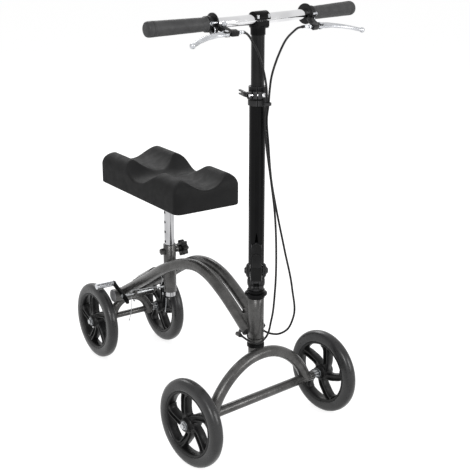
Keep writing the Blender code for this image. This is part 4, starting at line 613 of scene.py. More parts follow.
def wheel(place):
    side, centre = WHEELS[place]
    face = centre @ Matrix(((0, 0, side, 0), (side, 0, 0, 0), (0, 1, 0, 0), (0, 0, 0, 1)))
    body = "wheel_" + place
    bm = tool(turned, tyre_profile(), face, 96)
    piece("solid_tyre_" + place, bm, "tyre_rubber", body, ("tyre_" + place,), sharp=60)
    ring = mirrored([(RIM, 11.8), (RIM - 1, 12.4), (72.6, 12.4), (71.2, 11.6), (70, 9.5), (69.4, 0)])
    bm = tool(turned, ring, face, 96)
    for index in range(5):
        spoke(bm, index, face)
    hub = mirrored([(11.3, 20), (12.8, 20.5), (14.2, 19.8), (14.6, 18), (15.2, 12.5), (16.8, 10.5)])
    turned(bm, hub, face, 48)
    stem = face @ turn(FIRST_SPOKE + SPOKE_PITCH * 4 + 26, "Z")
    turned(bm, [(0, 10.5), (2.2, 10.5), (2.7, 9.6), (2.7, 3), (3.4, 0), (3.4, -2)],
           stem @ shift(70.8, 0, 0) @ turn(-90, "Y"), 16)
    piece("spoked_rim_" + place, bm, "black_plastic", body, ("rim_" + place,), sharp=38)
    bm = bmesh.new()
    for end in (1, -1):
        seat = face @ Matrix.Scale(end, 4, (0, 0, 1))
        turned(bm, [(11.2, 15), (11.2, 19.6), (10.6, 20.3), (8.8, 20.3), (8.4, 19.6), (8.4, 15)], seat, 48)
    turned(bm, [(11, 18.8), (11, -18.8), (4.3, -18.8), (4.3, 18.8)], face, 48)
    piece("bearings_" + place, bm, "hub_grey", body, ("wheel_bearing_" + place,))
    bm = bmesh.new()
    for end in (1, -1):
        seat = face @ Matrix.Scale(end, 4, (0, 0, 1))
        turned(bm, [(8.3, 18.7), (8.3, 19.4), (7, 19.8), (5.6, 19.6), (5.6, 18.7)], seat, 32)
    piece("bearing_seals_" + place, bm, "black_plastic", body)


for wheel_name in WHEELS:
    wheel(wheel_name)


# Cushion

PAD_AHEAD, PAD_BEHIND, PAD_HALF, PAD_BOTTOM = 186.5, 190, 90.5, 496.3


def blend(low, high, value):
    share = min(max((value - low) / (high - low), 0), 1)
    return share * share * (3 - 2 * share)


def bow(distance, radius):
    """Drop of a quarter round at a distance inside its outer edge."""
    inset = max(radius - distance, 0)
    return radius - sqrt(radius * radius - inset * inset)


def lower(first, second, reach):
    """The lower of two heights, rounded where they cross."""
    share = max(reach - abs(first - second), 0) / reach
    return min(first, second) - share * share * reach / 4


def pad_height(x, y):
    """Height of the moulded top: a cradle along it and a trough across it, under a rounded crown."""
    side = abs(x)
    cradle = 48.7 + 29.5 * (side / 57) ** 2
    reach, power = (68, 2.4) if y > 0 else (83, 2)
    trough = 40.7 + 37.5 * (abs(y) / reach) ** power
    end = min(y + PAD_AHEAD, PAD_BEHIND - y)
    crown = 78.2 - hypot(bow(PAD_HALF - side, 32), bow(end, 32))
    return lower(lower(cradle, trough, 5), crown, 6)


def pad_ring(inset):
    """The pad's rounded outline drawn in by an inset, from the middle of its front end."""
    a, b = PAD_HALF - inset, (PAD_AHEAD + PAD_BEHIND) / 2 - inset
    middle = (PAD_BEHIND - PAD_AHEAD) / 2
    r = 16 * (1 - inset / PAD_HALF) + 0.2
    half = [((a - r) * i / 14, -b) for i in range(14)]
    half += arc((a - r, -b + r), r, -90, 0, 9)
    half += [(a, (b - r) * (i / 56 - 1)) for i in range(1, 112)]
    half += arc((a - r, b - r), r, 0, 90, 9)
    half += [((a - r) * (1 - i / 14), b) for i in range(1, 15)]
    return [(x, y + middle) for x, y in half + [(-x, y) for x, y in reversed(half[1:-1])]]


def cushion():
    bm = bmesh.new()
    rings = []
    for inset, z in ((4, 0), (1.4, 0.4), (0.3, 1.8), (0, 4)):
        rings.append([(x, y, z) for x, y in pad_ring(inset)])
    edge = pad_ring(0)
    for share in (0.3, 0.6, 0.85):
        rings.append([(x, y, 4 + share * (pad_height(x, y) - 10.5)) for x, y in edge])
    insets = [0, 0.2, 0.7, 1.5, 2.6, 4, 5.5, 7.5, 10]
    insets += [12.5 + 2.5 * i for i in range(31)]
    for inset in insets:
        rings.append([(x, y, pad_height(x, y) - bow(inset, 6.5)) for x, y in pad_ring(inset)])
    loops = [[bm.verts.new(SEAT @ Vector((x, y, PAD_BOTTOM + z))) for x, y, z in ring] for ring in rings]
    for a, b in zip(loops, loops[1:]):
        ring_faces(bm, a, b)
    bm.faces.new(list(reversed(loops[0])))
    last, count = loops[-1], len(loops[-1])
    for i in range(count // 2):
        corners = [last[i], last[i + 1], last[count - i - 1], last[-i]]
        bm.faces.new(list(dict.fromkeys(corners)))
    pad = piece("knee_cushion", bm, "pad_skin", "seat", ("seat_pad",), sharp=80)


cushion()


# Main frame

TUBE_POINTS = ((6, 259), (60, 293), (118, 325), (170, 345.2), (220, 351.5), (275, 343), (350, 311), (450, 251),
               (582, 173.8))


def tube_x(y):
    return TUBE_NOSE_X + (TUBE_REAR_X - TUBE_NOSE_X) * blend(230, 364.8, y)


def tube_line(side):
    return smooth_line([(side * tube_x(y), y, z) for y, z in TUBE_POINTS])


def tube_height(y):
    line = tube_line(1)
    for a, b in zip(line, line[1:]):
        if y <= b.y:
            return a.z + (b.z - a.z) * (y - a.y) / (b.y - a.y)
    return line[-1].z


def head_room():
    return tool(bar, (0, 0, 200), (0, 0, 400), 18.65, FRAME, 64)


def main_tube(side):
    bm = tool(swept, tube_line(side), TUBE_RADIUS, FRAME, 36)
    bm = carved(bm, head_room())
    weld(bm, (side * TUBE_NOSE_X, 60, 293), (0, -54, -34), TUBE_RADIUS, ((0, 0, 0), (0, 0, 1), 18.6), FRAME)
    weld(bm, (side * TUBE_REAR_X, 530, 204.2), (0, 132, -77.2), TUBE_RADIUS,
         ((0, *BEAM), (1, 0, 0), BEAM_RADIUS), FRAME)
    y, z = BRAKE_PIVOT
    lug = FRAME @ shift(side * TUBE_REAR_X, 0, 0) @ SIDEWAYS
    extruded(bm, capsule((y, z), (y, tube_height(y) - 8), 6.5), -3, 3, lug, 0.6)
    low = tube_height(y) - 12.8
    for face in (-3.4, 3.4):
        bead(bm, [(side * TUBE_REAR_X + face, y - 6.5 + 0.93 * i, low + 3.6 - 0.55 * i) for i in range(15)],
             FRAME, 1.4)
    bar(bm, (side * 30, 18, CABLE_STOP_Z), (side * 30, 32, CABLE_STOP_Z), 5, FRAME, 24)
    bar(bm, (side * 30, 25, CABLE_STOP_Z), (side * TUBE_NOSE_X, 25, tube_height(25)), 3.5, FRAME, 16)
    piece("frame_tube_" + SIDE[side], bm, "frame_paint", "frame", ("main_tube_" + SIDE[side],), sharp=50)


def frame_front():
    bm = tool(turned, [(15.5, 243.3), (18, 243.3), (18.5, 243.8), (18.5, 340), (18, 340.5), (15.5, 340.5)],
              FRAME, 64)
    piece("head_tube_shell", bm, "frame_paint", "frame", ("head_tube",), sharp=50)
    bm = tool(turned, [(14.8, 232), (18.4, 232), (19, 232.8), (19, 240.5), (19.4, 241.2), (19.4, 243),
                       (14.8, 243)], FRAME, 64)
    piece("lower_headset_cup", bm, "frame_paint", "frame", ("lower_cup",))
    bm = tool(turned, [(14.8, 340.8), (19.4, 340.8), (20, 341.4), (20, 346.7), (19.2, 347.5), (14.8, 347.5)],
              FRAME, 64)
    piece("upper_headset_cup", bm, "black_paint", "frame", ("upper_cup",))
    nose = FRAME @ shift(0, 6, 259) @ turn(degrees(atan2(34, 54)), "X")
    bm = tool(block, (-17.2, 10, 13.8), (17.2, 40, 16.8), nose, 1.2)
    web = tool(block, (-3.7, 10, -12), (3.7, 54, 13.6), nose, 0.6)
    bm = carved(bm, head_room())
    added(bm, carved(web, head_room()))
    for side in (-1, 1):
        bead(bm, [(side * 17.2, 15 + 1.3 * i, 14) for i in range(19)], nose, 1.3)
    piece("nose_gusset", bm, "frame_paint", "frame", ("frame_gusset",), sharp=50)


def frame_rear():
    start, end = 450, 520
    slope = atan2(tube_height(end) - tube_height(start), end - start)
    run = (end - start) / cos(slope)
    place = FRAME @ shift(0, start, tube_height(start)) @ turn(degrees(slope), "X") @ shift(0, run / 2, 0)
    steps = [i / 32 for i in range(33)]
    top = [(TUBE_REAR_X * (2 * t - 1), 15.7 + 11 * sin(pi * t) ** 2) for t in steps]
    under = [(x, z - 2.5) for x, z in reversed(top)]
    bm = tool(extruded, top + under, -run / 2, run / 2, place @ turn(90, "X"), 0.7)
    for side in (-1, 1):
        bead(bm, [(side * 29.2, run * (i / 40 - 0.5), 14.2) for i in range(1, 40)], place, 1.3)
    piece("bridge_plate", bm, "frame_paint", "frame", ("rear_bridge",), sharp=45)
    bm = tool(bar, (-60, *BEAM), (60, *BEAM), BEAM_RADIUS, FRAME, 64, bore=15.25)
    piece("cross_beam", bm, "frame_paint", "frame", ("rear_beam",))
    bm = bmesh.new()
    for side in (-1, 1):
        turned(bm, [(0, -10), (15, -10), (15.1, 0.2), (16.9, 0.2), (17.2, 0.6), (17, 1.4), (15.5, 2.2), (10, 3),
                    (0, 3.4)], FRAME @ shift(side * 60, *BEAM) @ OUT_X[side], 48)
    piece("beam_end_plugs", bm, "plug_grey", "frame")
    crown = arc((0, 94), REAR_ARCH_X, 0, 180, 33)
    line = [(x, REAR_AXLE[0], z) for x, z in [(REAR_ARCH_X, 90), *crown, (-REAR_ARCH_X, 90)]]
    bm = tool(swept, line, REAR_ARCH_RADIUS, FRAME, 32)
    for side in (-1, 1):
        for way in (-1, 1):
            start = side * REAR_ARCH_X + way * 20
            weld(bm, (start, *REAR_AXLE), (-way, 0, 0), 8,
                 ((side * REAR_ARCH_X, REAR_AXLE[0], 0), (0, 0, 1), REAR_ARCH_RADIUS), FRAME, 1.5, 30)
    bar(bm, (-68, *REAR_AXLE), (68, *REAR_AXLE), 8, FRAME, 32, bore=4.4)
    weld(bm, (0, REAR_AXLE[0], 120), (0, 0, 1), REAR_ARCH_RADIUS, ((0, *BEAM), (1, 0, 0), BEAM_RADIUS), FRAME,
         1.8)
    piece("rear_arch_tube", bm, "frame_paint", "frame", ("rear_arch",), sharp=50)


def axle_end(bm, side, centre, shoulder, track, inner, plug):
    """An axle's outer end on local X: shaft, spacer against the frame, washer and bolt head."""
    place = centre @ OUT_X[side]
    near, far = track / 2 - 20.5, track / 2 + 20.5
    if plug:
        turned(bm, [(0, inner), (plug, inner), (plug, shoulder), (0, shoulder)], place, 32)
    turned(bm, [(0, inner), (4, inner), (4, far + 1.2), (0, far + 1.2)], place, 24)
    turned(bm, [(4.2, shoulder + 0.3), (9.1, shoulder + 0.3), (9.5, shoulder + 0.8), (9.5, near - 1.8),
                (7.8, near - 0.3), (4.2, near - 0.3)], place, 40)
    hex_head(bm, place @ shift(0, 0, far + 0.3))


def axles():
    for side in (-1, 1):
        bm = bmesh.new()
        axle_end(bm, side, STEER @ shift(0, *FRONT_AXLE), 168, 411.6, 150, 8.8)
        piece("axle_bolt_" + SIDE[side], bm, "steel", "fork", ("front_axle_" + SIDE[side],))
    bm = bmesh.new()
    for side in (-1, 1):
        axle_end(bm, side, FRAME @ shift(0, *REAR_AXLE), 68, 202.6, 0, 0)
    piece("rear_axle_bolts", bm, "steel", "frame", ("rear_axle",))


def fork():
    half = [(0, 208), (40, 202.5), (84, 180.8), (122, 144.5), (147, 101.6)]
    route = [(x, FRONT_AXLE[0], z) for x, z in [(-x, z) for x, z in reversed(half[1:])] + half]
    bm = tool(swept, smooth_line(route), FORK_RADIUS, STEER, 40)
    bm = carved(bm, tool(bar, (-200, *FRONT_AXLE), (200, *FRONT_AXLE), 11.25, STEER, 48))
    for side in (-1, 1):
        weld(bm, (side * 122, FRONT_AXLE[0], 144.5), (side * 25, 0, -42.9), FORK_RADIUS,
             ((0, *FRONT_AXLE), (1, 0, 0), 11.3), STEER, 2)
    bm = carved(bm, tool(bar, (0, 0, 180), (0, 0, 240), 14.4, STEER, 48))
    piece("fork_arch", bm, "frame_paint", "fork", ("front_arch",), sharp=50)
    bm = tool(bar, (-168, *FRONT_AXLE), (168, *FRONT_AXLE), 11.1, STEER, 48, bore=9.1)
    piece("fork_axle_tube", bm, "frame_paint", "fork", ("front_axle_tube",))
    bm = tool(turned, [(11.8, 192), (16.4, 192), (17, 192.6), (17, 221.1), (16.4, 221.7), (14.3, 221.7),
                       (14.3, 383.7), (11.8, 383.7)], STEER, 64)
    for low in (1, -1):
        line = []
        for i in range(25):
            angle = radians(-90 + 80 * (i / 12 - 1))
            x, y = 17.2 * cos(angle), 17.2 * sin(angle)
            rise = FORK_RADIUS ** 2 - (y - FRONT_AXLE[0]) ** 2
            if rise > 0:
                line.append((x, y, 208 - 3.5 * (x / 17) ** 2 + low * sqrt(rise)))
        bead(bm, line, STEER, 1.8)
    piece("fork_steerer", bm, "frame_paint", "fork", ("steerer",), sharp=45)
    bm = tool(turned, [(14.6, 222), (19.5, 222), (20, 222.5), (20, 229), (19, 230.2), (19, 231.7),
                       (14.6, 231.7)], STEER, 64)
    turned(bm, [(14.6, 347.8), (24.4, 347.8), (25, 348.4), (25, 352.7), (24, 353.5), (20, 354.1), (20, 360),
                (19.5, 360.5), (14.6, 360.5)], STEER, 64)
    for i in range(24):
        notch = STEER @ turn(15 * i, "Z")
        block(bm, (24.6, -1, 348.7), (25.4, 1, 352.5), notch, 0.3, 1)
    piece("headset_nuts", bm, "black_paint", "fork", ("lower_race", "locknut"))


for side_sign in (-1, 1):
    main_tube(side_sign)
frame_front()
frame_rear()
axles()
fork()


# Seat post, sleeve, plate and knob

def seat_parts():
    bm = tool(turned, [(13, 234), (15.4, 234), (15.9, 234.5), (15.9, 360.5), (15.4, 361), (13, 361)], SEAT, 64)
    rise = tube_height(SEAT_Y)
    slope = (tube_height(392) - tube_height(369)) / 23
    for side in (-1, 1):
        for up in (1, -1):
            bead(bm, [(side * 16, 1.1 * i - 11, rise + slope * (1.1 * i - 11) + up * 9.8) for i in range(21)],
                 SEAT, 1.9)
    bar(bm, (14, 0, KNOB_Z), (23.7, 0, KNOB_Z), 8, SEAT, 32, bore=4.5)
    extruded(bm, hexagon(8.6), 14, 25.8, SEAT @ shift(0, 0, KNOB_Z) @ OUT_X[-1], 0.7)
    turned(bm, [(0, 25.9), (4.4, 25.9), (4.2, 27.1), (0, 27.2)], SEAT @ shift(0, 0, KNOB_Z) @ OUT_X[-1], 20)
    piece("post_sleeve", bm, "frame_paint", "frame", ("seat_sleeve",), sharp=50)
    bm = tool(turned, [(10.7, 222), (12.4, 222), (12.7, 222.4), (12.7, 490.6), (12.4, 491), (10.7, 491)], SEAT,
              64)
    holes = [tool(bar, (-30, 0, z), (0, 0, z), 3.5, SEAT, 24) for z in (446 - 25.4 * i for i in range(5))]
    piece("telescopic_post", carved(bm, *holes), "post_chrome", "seat", ("seat_post",))
    bm = tool(block, (-42, -95, 491.6), (42, 95, 495.9), SEAT, 1.2)
    turned(bm, [(13, 478.5), (16.5, 478.5), (17, 479), (17, 492), (13, 492)], SEAT, 48)
    bead(bm, [(17.8 * cos(radians(9 * i)), 17.8 * sin(radians(9 * i)), 490.8) for i in range(40)], SEAT, 1.5,
         looped=True)
    for x in (-30, 30):
        for y in (-78, 78):
            hex_head(bm, SEAT @ shift(x, y, 491.7) @ turn(180, "X"), 5.8, 3.6, 7.5)
    piece("pad_plate", bm, "black_paint", "seat", ("seat_plate",))
    bm = bmesh.new()
    outline = []
    for i in range(140):
        angle = 2 * pi * i / 140
        radius = 17.5 + 3 * cos(7 * angle)
        outline.append((radius * cos(angle), radius * sin(angle)))
    extruded(bm, outline, 30, 46, KNOB, 1.8, 4)
    turned(bm, [(0, 50), (6, 50), (9, 49.6), (10.8, 48.2), (11.2, 45.5), (10.5, 32), (9, 30), (9, 24.5),
                (8.6, 24), (4, 24), (4, 13.1), (0, 13.1)], KNOB, 48)
    piece("clamp_knob", bm, "black_plastic", "knob", ("seat_knob",), sharp=40)


seat_parts()


# Handlebar, stem and grips

def bar_line():
    lean = radians(BAR_LEAN)
    half = [(0, 0)]
    for i in range(9):
        t = i / 8
        half.append((BAR_BEND - 12 * (1 - t) ** 2 + 12 * t * t * cos(lean), 12 * t * t * sin(lean)))
    half.append((BAR_BEND + 201.5 * cos(lean), 201.5 * sin(lean)))
    return [(BAR_OFFSET + x, y, BAR_Z) for x, y in [(-x, y) for x, y in reversed(half[1:])] + half]


def handlebar():
    bm = tool(swept, bar_line(), 11.1, STEER, 48)
    piece("chrome_bar", bm, "chrome", "handlebar", ("handlebar_tube",))
    bm = tool(turned, [(12.3, 600), (13.9, 600), (14.3, 600.4), (14.3, 947.5), (12.3, 947.5)], STEER, 64)
    piece("upper_column", bm, "satin_black", "handlebar", ("column_upper_tube",))
    groove = (bar, (-50, 0, BAR_Z), (50, 0, BAR_Z), 11.3, STEER, 64)
    profile = [(-12.5, 944), (12.5, 944), (15, 948.5), (15, 959.2), (-15, 959.2), (-15, 948.5)]
    base = tool(extruded, profile, -13.5, 19.5, STEER @ SIDEWAYS, 1.8, 3)
    base = carved(base, tool(*groove), tool(bar, (0, 0, 920), (0, 0, 947.8), 14.6, STEER, 64))
    turned(base, [(14.6, 930), (15.6, 930), (16, 930.4), (16, 940), (16.4, 942.5), (16.4, 947.8),
                  (14.6, 947.8)], STEER, 64)
    piece("stem_saddle", base, "black_paint", "handlebar", ("stem_base",))
    arch = [(15, 961.5)] + [(y * 0.88, z) for y, z in arc((0, BAR_Z), 17, 12, 168, 25)] + [(-15, 961.5)]
    cap = tool(extruded, arch, -16.5, 23.5, STEER @ SIDEWAYS, 1.8, 3)
    ears = [(x, y) for x in (-11.5, 18.5) for y in (-12.8, 12.8)]
    seats = [tool(bar, (x, y, 965), (x, y, 990), 3.9, STEER, 24) for x, y in ears]
    cap = carved(cap, tool(*groove), *seats)
    piece("stem_clamp_cap", cap, "black_paint", "handlebar", ("stem_cap",))
    bm = bmesh.new()
    for x, y in ears:
        socket_head(bm, STEER @ shift(x, y, 965.2), 3.4, 7.2)
    piece("stem_bolts", bm, "steel", "handlebar")


def grip(side):
    place = BAR_END[side] @ OUT_X[side]
    profile = [(0, 201.8), (11.4, 201.8), (11.4, 62.2), (15.7, 62.2), (16.3, 62.8), (16.3, 65.2), (15.6, 66.2),
               (14.6, 66.8), (14.3, 70), (14.3, 76), (14.7, 90)]
    profile += [(14.7 + 0.9 * blend(0, 1, i / 12), 90 + 84 * i / 12) for i in range(1, 13)]
    profile += [(15.8, 180), (15.9, 186.8), (15.3, 187.3), (15.3, 188.3), (16, 188.8), (16, 190.2),
                (15.3, 190.7), (15.3, 191.7), (16, 192.2), (16, 196.5), (15.7, 199.5), (14.8, 202), (13, 203.4),
                (10, 203.8), (0, 203.8)]
    bm = tool(turned, profile, place, 64)
    piece("hand_grip_" + SIDE[side], bm, "grip_rubber", "handlebar", ("grip_" + SIDE[side],))


def toothed(radius, depth, teeth):
    """A knurled outline, with two corners on each tooth and two in each gap."""
    outline = []
    for k in range(teeth * 4):
        angle, reach = pi * k / (2 * teeth), radius - depth * (k % 4 >= 2)
        outline.append((reach * cos(angle), reach * sin(angle)))
    return outline


def bracket(side):
    place = PLANE[side] @ MIRROR[side]
    along = place @ turn(90, "Y")
    ring = tool(turned, [(11.4, 43.8), (21.2, 43.8), (22.1, 44.3), (22.4, 45.2), (22.4, 46.5), (21.8, 47.4),
                         (16.5, 47.8), (15.2, 48.4), (15.2, 56), (16, 56.6), (16.8, 57.2), (16.8, 60.4),
                         (16, 61.2), (11.4, 61.2)], along, 72)
    ring = carved(ring, tool(block, (48, 10, -0.8), (70, 30, 0.8), place, 0.2, 1))
    outline = [(47, -13), (47, -21), (42.5, -32), (41, -42.5), (34, -54.5), (32.5, -55.2), (17.5, -55.2),
               (16.5, -54.2), (16.5, -42.8), (17.5, -41.8), (28, -40), (30, -30), (34.5, -19.5), (38.5, -13)]
    arm = tool(extruded, outline, -5.2, 5, place, 1.1, 3)
    button_room = tool(bar, (35.2, -24.5, 0.6), (35.2, -24.5, 20), 6.2, place, 40)
    bore = tool(bar, (0, 0, 0), (70, 0, 0), 12.5, place, 48)
    arm = carved(arm, tool(block, (35.2, -70, -3.8), (60, -39.2, 3.8), place, 0.3, 1), bore,
                 *([button_room] if side < 0 else []))
    added(ring, arm)
    for low, high in ((-5.2, -4), (4, 5)):
        cheek = arc(LEVER_PIVOT, 6.4, -80, 80, 14) + [(38, -42.1), (38, -54.7)]
        extruded(ring, cheek, low, high, place, 0.3)
    block(ring, (18.2, -53.8, 4.6), (31.8, -43.6, 5.6), place, 0.6)
    turned(ring, mirrored([(4, -3.5), (7.2, -3.5), (8, -2.8)]), along @ shift(5.2, -17.8, 51.2), 32)
    piece("lever_clamp_" + SIDE[side], ring, "black_plastic", "handlebar", ("lever_bracket_" + SIDE[side],))
    bm = tool(bar, (47.5, -17.2, 10.2), (61.2, -17.2, 10.2), 2.1, place, 20)
    for face in (1, -1):
        flat = place @ shift(*LEVER_PIVOT, 0) @ turn(0 if face > 0 else 180, "X")
        turned(bm, [(0, 5.1), (4.2, 5.1), (4.2, 5.8), (3.4, 6.5), (0, 6.7)], flat, 24)
    turned(bm, mirrored([(0, -5.7), (2.2, -5.7)]), place @ shift(*LEVER_PIVOT, 0), 20)
    turned(bm, [(6.2, 3), (7.4, 3), (7.8, 3.4), (7.8, 4.4), (7.4, 4.8), (6.2, 4.8)],
           along @ shift(5.2, -17.8, 51.2), 40)
    hex_head(bm, along @ shift(-8, -15, 60), 3.2, 2.8, 4.2)
    barrel = place @ shift(16.5, -48.4, 0) @ turn(0 if side < 0 else -14, "Z") @ turn(-90, "Y")
    extruded(bm, toothed(4.2, 0.4, 14), 2.2, 7.2, barrel, 0.3)
    extruded(bm, toothed(3.5, 0.3, 12), 8, 12.5 if side < 0 else 19, barrel, 0.3)
    turned(bm, [(0, -4), (2.6, -4), (2.6, 14.2 if side < 0 else 21.5), (0, 14.2 if side < 0 else 21.5)], barrel,
           16)
    piece("lever_fittings_" + SIDE[side], bm, "alloy", "handlebar")


def lever(side):
    place = LEVER[side] @ MIRROR[side]
    stations = [(2, 0.6, 7.6), (14, 1.6, 8.2), (31, 4.1, 7.1), (45, 8.6, 6.1), (59, 13.1, 5.6), (67, 16.6, 5.4),
                (83.5, 24.6, 5), (95, 32, 4.6), (101.8, 36, 4.2)]
    line = smooth_line([(x, -y, half) for x, y, half in stations], 10)
    rings = []
    for i, point in enumerate(line):
        ahead = line[min(i + 1, len(line) - 1)] - line[max(i - 1, 0)]
        across = Vector((-ahead.y, ahead.x, 0)).normalized()
        middle = Vector((point.x, point.y, 0))
        loop = []
        for k in range(24):
            c, s = cos(2 * pi * k / 24), sin(2 * pi * k / 24)
            wide = point.z * copysign(abs(c) ** 0.7, c)
            loop.append(middle + across * wide + Vector((0, 0, 3.5 * copysign(abs(s) ** 0.55, s))))
        rings.append(loop)
    bm = bmesh.new()
    tube_faces(bm, [[bm.verts.new(place @ v) for v in loop] for loop in rings])
    turned(bm, mirrored([(2.6, -3.5), (7.4, -3.5), (8, -2.9)]), place, 40)
    turned(bm, mirrored([(0, -5.5), (2.6, -5.3), (4.6, -4.3), (5.7, -2.4), (6, 0)]),
           place @ shift(103.8, -36.8, 0), 32)
    piece("lever_blade_" + SIDE[side], bm, "alloy", "lever_" + SIDE[side], ("brake_lever_" + SIDE[side],))


def parking_button():
    place = PLANE[-1] @ shift(-35.2, -24.5, 0)
    bm = tool(extruded, toothed(5.5, 0.3, 22), 4, 12, place, 0.3)
    turned(bm, [(0, 14.3), (3.6, 14.2), (4.9, 13.6), (5.4, 11.8), (5, 4), (2.4, 4), (2.4, -3.5), (0, -3.5)],
           place, 32)
    piece("parking_knob", bm, "alloy", "parking_button", ("lock_button",))


handlebar()
for side_sign in (-1, 1):
    grip(side_sign)
    bracket(side_sign)
    lever(side_sign)
parking_button()


# Column, its fold joint and its height clamp

def column():
    bm = tool(turned, [(14.6, 423.8), (17.2, 423.8), (17.6, 424.2), (17.6, 817.6), (17.2, 818), (14.6, 818)],
              COLUMN, 64)
    notch = [(-4, 476.5), (4, 476.5), (0.6, 498.5), (-0.6, 498.5)]
    bm = carved(bm, tool(extruded, notch, 10, 20, COLUMN @ turn(90, "X"), 0))
    piece("lower_column", bm, "black_paint", "column", ("column_lower_tube",))
    body = tool(turned, [(17.9, 781), (20, 781), (20.7, 781.7), (20.7, 793.1), (20.1, 793.8), (19.4, 794.4),
                         (19.4, 821.3), (18.7, 822), (14.7, 822), (14.7, 818.3), (17.9, 818.3)], COLUMN, 64)
    body = carved(body, tool(block, (-1, -30, 770), (1, -7, 830), COLUMN, 0.2, 1))
    ears = tool(block, (-10, -28, 798.5), (10, -16.5, 813.5), COLUMN, 1.4, 3)
    ears = carved(ears, tool(block, (-1, -40, 770), (1, -7, 830), COLUMN, 0.2, 1),
                  tool(bar, (-20, *CLAMP_BOLT), (20, *CLAMP_BOLT), 2.8, COLUMN, 24))
    added(body, ears)
    turned(body, mirrored([(6.4, -2.6), (7, -3), (7.6, -3), (8, -2.6)]), COLUMN @ shift(21.5, -20.5, 787), 32)
    block(body, (19, -2.2, 784.5), (22.6, 2.2, 789.5), COLUMN @ turn(-43.6, "Z"), 0.5)
    piece("clamp_collar", body, "edged_black", "column", ("height_collar",))
    place = COLUMN @ shift(0, *CLAMP_BOLT)
    bm = tool(turned, [(0, -17), (2.5, -17), (2.5, 10.3), (4.7, 10.3), (5, 10.6), (5, 14), (4.4, 15.6),
                       (3, 16.5), (0, 16.6)], place @ turn(90, "Y"), 32)
    turned(bm, mirrored([(0, -7.5), (2.7, -7.5), (3, -7.2)]), place @ shift(-17, 0, 0), 24)
    piece("clamp_pin", bm, "chrome", "column", ("clamp_bolt",))


def cam_lever():
    route = smooth_line([(-3, 2, 0), (-10, 12, 0), (-14.5, 24, 0), (-21, 40, 0)], 6)
    inner, outer = [], []
    for i, point in enumerate(route):
        ahead = route[min(i + 1, len(route) - 1)] - route[max(i - 1, 0)]
        across = Vector((-ahead.y, ahead.x, 0)).normalized() * 2.4
        inner.append((point - across).to_2d()[:])
        outer.append((point + across).to_2d()[:])
    bm = tool(extruded, inner + outer[::-1], -5.5, 5.5, CLAMP, 0.9, 3)
    slot = [(2, 8), (-4, 0.5), (-6.6, -4), (-5, -11), (5, -11), (13, 0)]
    head = tool(turned, mirrored([(3.4, -7.2), (5.4, -7.2), (6, -6.6)]), CLAMP, 40)
    cuts = [(tool(extruded, slot, -3.2, 3.2, CLAMP, 0), tool(bar, (0, 0, -20), (0, 0, 20), 3.4, CLAMP, 32),
             tool(block, (-35, 26, -2), (-10, 46, 2), CLAMP, 0.4, 1)) for _ in range(2)]
    bm = carved(bm, *cuts[0])
    head = carved(head, *cuts[1])
    added(bm, head)
    piece("cam_handle", bm, "edged_black", "height_lever", ("height_clamp_lever",))


def fold_joint():
    hole = (bar, (-50, 0, 0), (50, 0, 0), 4.4, FOLD, 32)
    inside = (bar, (0, 0, -49), (0, 0, -20.9), 14.6, FOLD, 64)
    eye = (bar, (-6.4, *LATCH_PIVOT), (6.4, *LATCH_PIVOT), 5.4, FOLD, 32)
    room = (block, (-6.4, -40, -33), (6.4, -17.1, -20), FOLD, 0.2, 1)
    base = tool(turned, [(0, -44.2), (17.1, -44.2), (17.7, -43.6), (17.7, -34), (19.4, -33.2), (19.4, -31.2),
                         (20, -30.5), (20, -21.8), (19.2, -21), (0, -21)], FOLD, 64)
    base = carved(base, tool(*inside), tool(*eye), tool(*room))
    for side in (-1, 1):
        outline = [*arc((0, 0), 16.5, 0, 180, 21), (-15, -19), (-10, -33), (10, -33), (15, -19)]
        ear = tool(extruded, outline, 13.9, 19, FOLD @ MIRROR[side] @ SIDEWAYS, 1.2, 3)
        dome = tool(turned, [(0, 14.5), (16.4, 14.5), (17.1, 15.3), (17, 17), (15.8, 19.5), (13.8, 21.5),
                             (11.2, 22.6), (9.8, 22.7), (9.2, 22), (0, 22)], FOLD @ OUT_X[side], 48)
        dome = carved(dome, tool(*hole))
        ear = carved(ear, tool(*hole), tool(*inside))
        lug = tool(extruded, capsule(LATCH_PIVOT, (-16, -31.5), 4.5), 6.4, 10.4, FOLD @ MIRROR[side] @ SIDEWAYS,
                   0.6)
        turned(lug, [(2.3, 10.4), (3.4, 10.4), (3.4, 11.2), (2.8, 11.7), (0, 11.8), (0, -0.1), (2.2, -0.1),
                     (2.2, 10.4)], FOLD @ MIRROR[side] @ shift(0, *LATCH_PIVOT) @ turn(90, "Y"), 24)
        for part in (ear, dome, lug):
            added(base, part)
    piece("fold_yoke", base, "edged_black", "fork", ("fold_base",), sharp=40)
    bm = bmesh.new()
    for side in (-1, 1):
        place = FOLD @ MIRROR[side] @ turn(90, "Y")
        turned(bm, [(0, -0.1), (4, -0.1), (4, 22.2), (8, 22.2), (8.5, 22.7), (8.5, 23.8), (8, 24.3),
                    (6.2, 24.3), (6, 25.8), (5.2, 26.6), (3, 26.6), (2.8, 24.8), (0, 24.7)], place, 40)
    piece("fold_pin", bm, "black_bolt", "fork", ("fold_bolt",))
    bm = bmesh.new()
    disc = tool(turned, mirrored([(0, -13.5), (14.2, -13.5), (15, -12.7)]), FOLD @ turn(90, "Y"), 64)
    neck = tool(turned, [(0, 48.5), (14.3, 48.5), (14.3, 18.6), (17.6, 18.6), (17.6, 17.5), (13.4, 17),
                         (13.1, 0), (0, 0)], FOLD, 64)
    for part in (carved(disc, tool(*hole)), carved(neck, tool(*hole))):
        added(bm, part)
    piece("fold_tongue", bm, "black_paint", "column", ("fold_knuckle",))


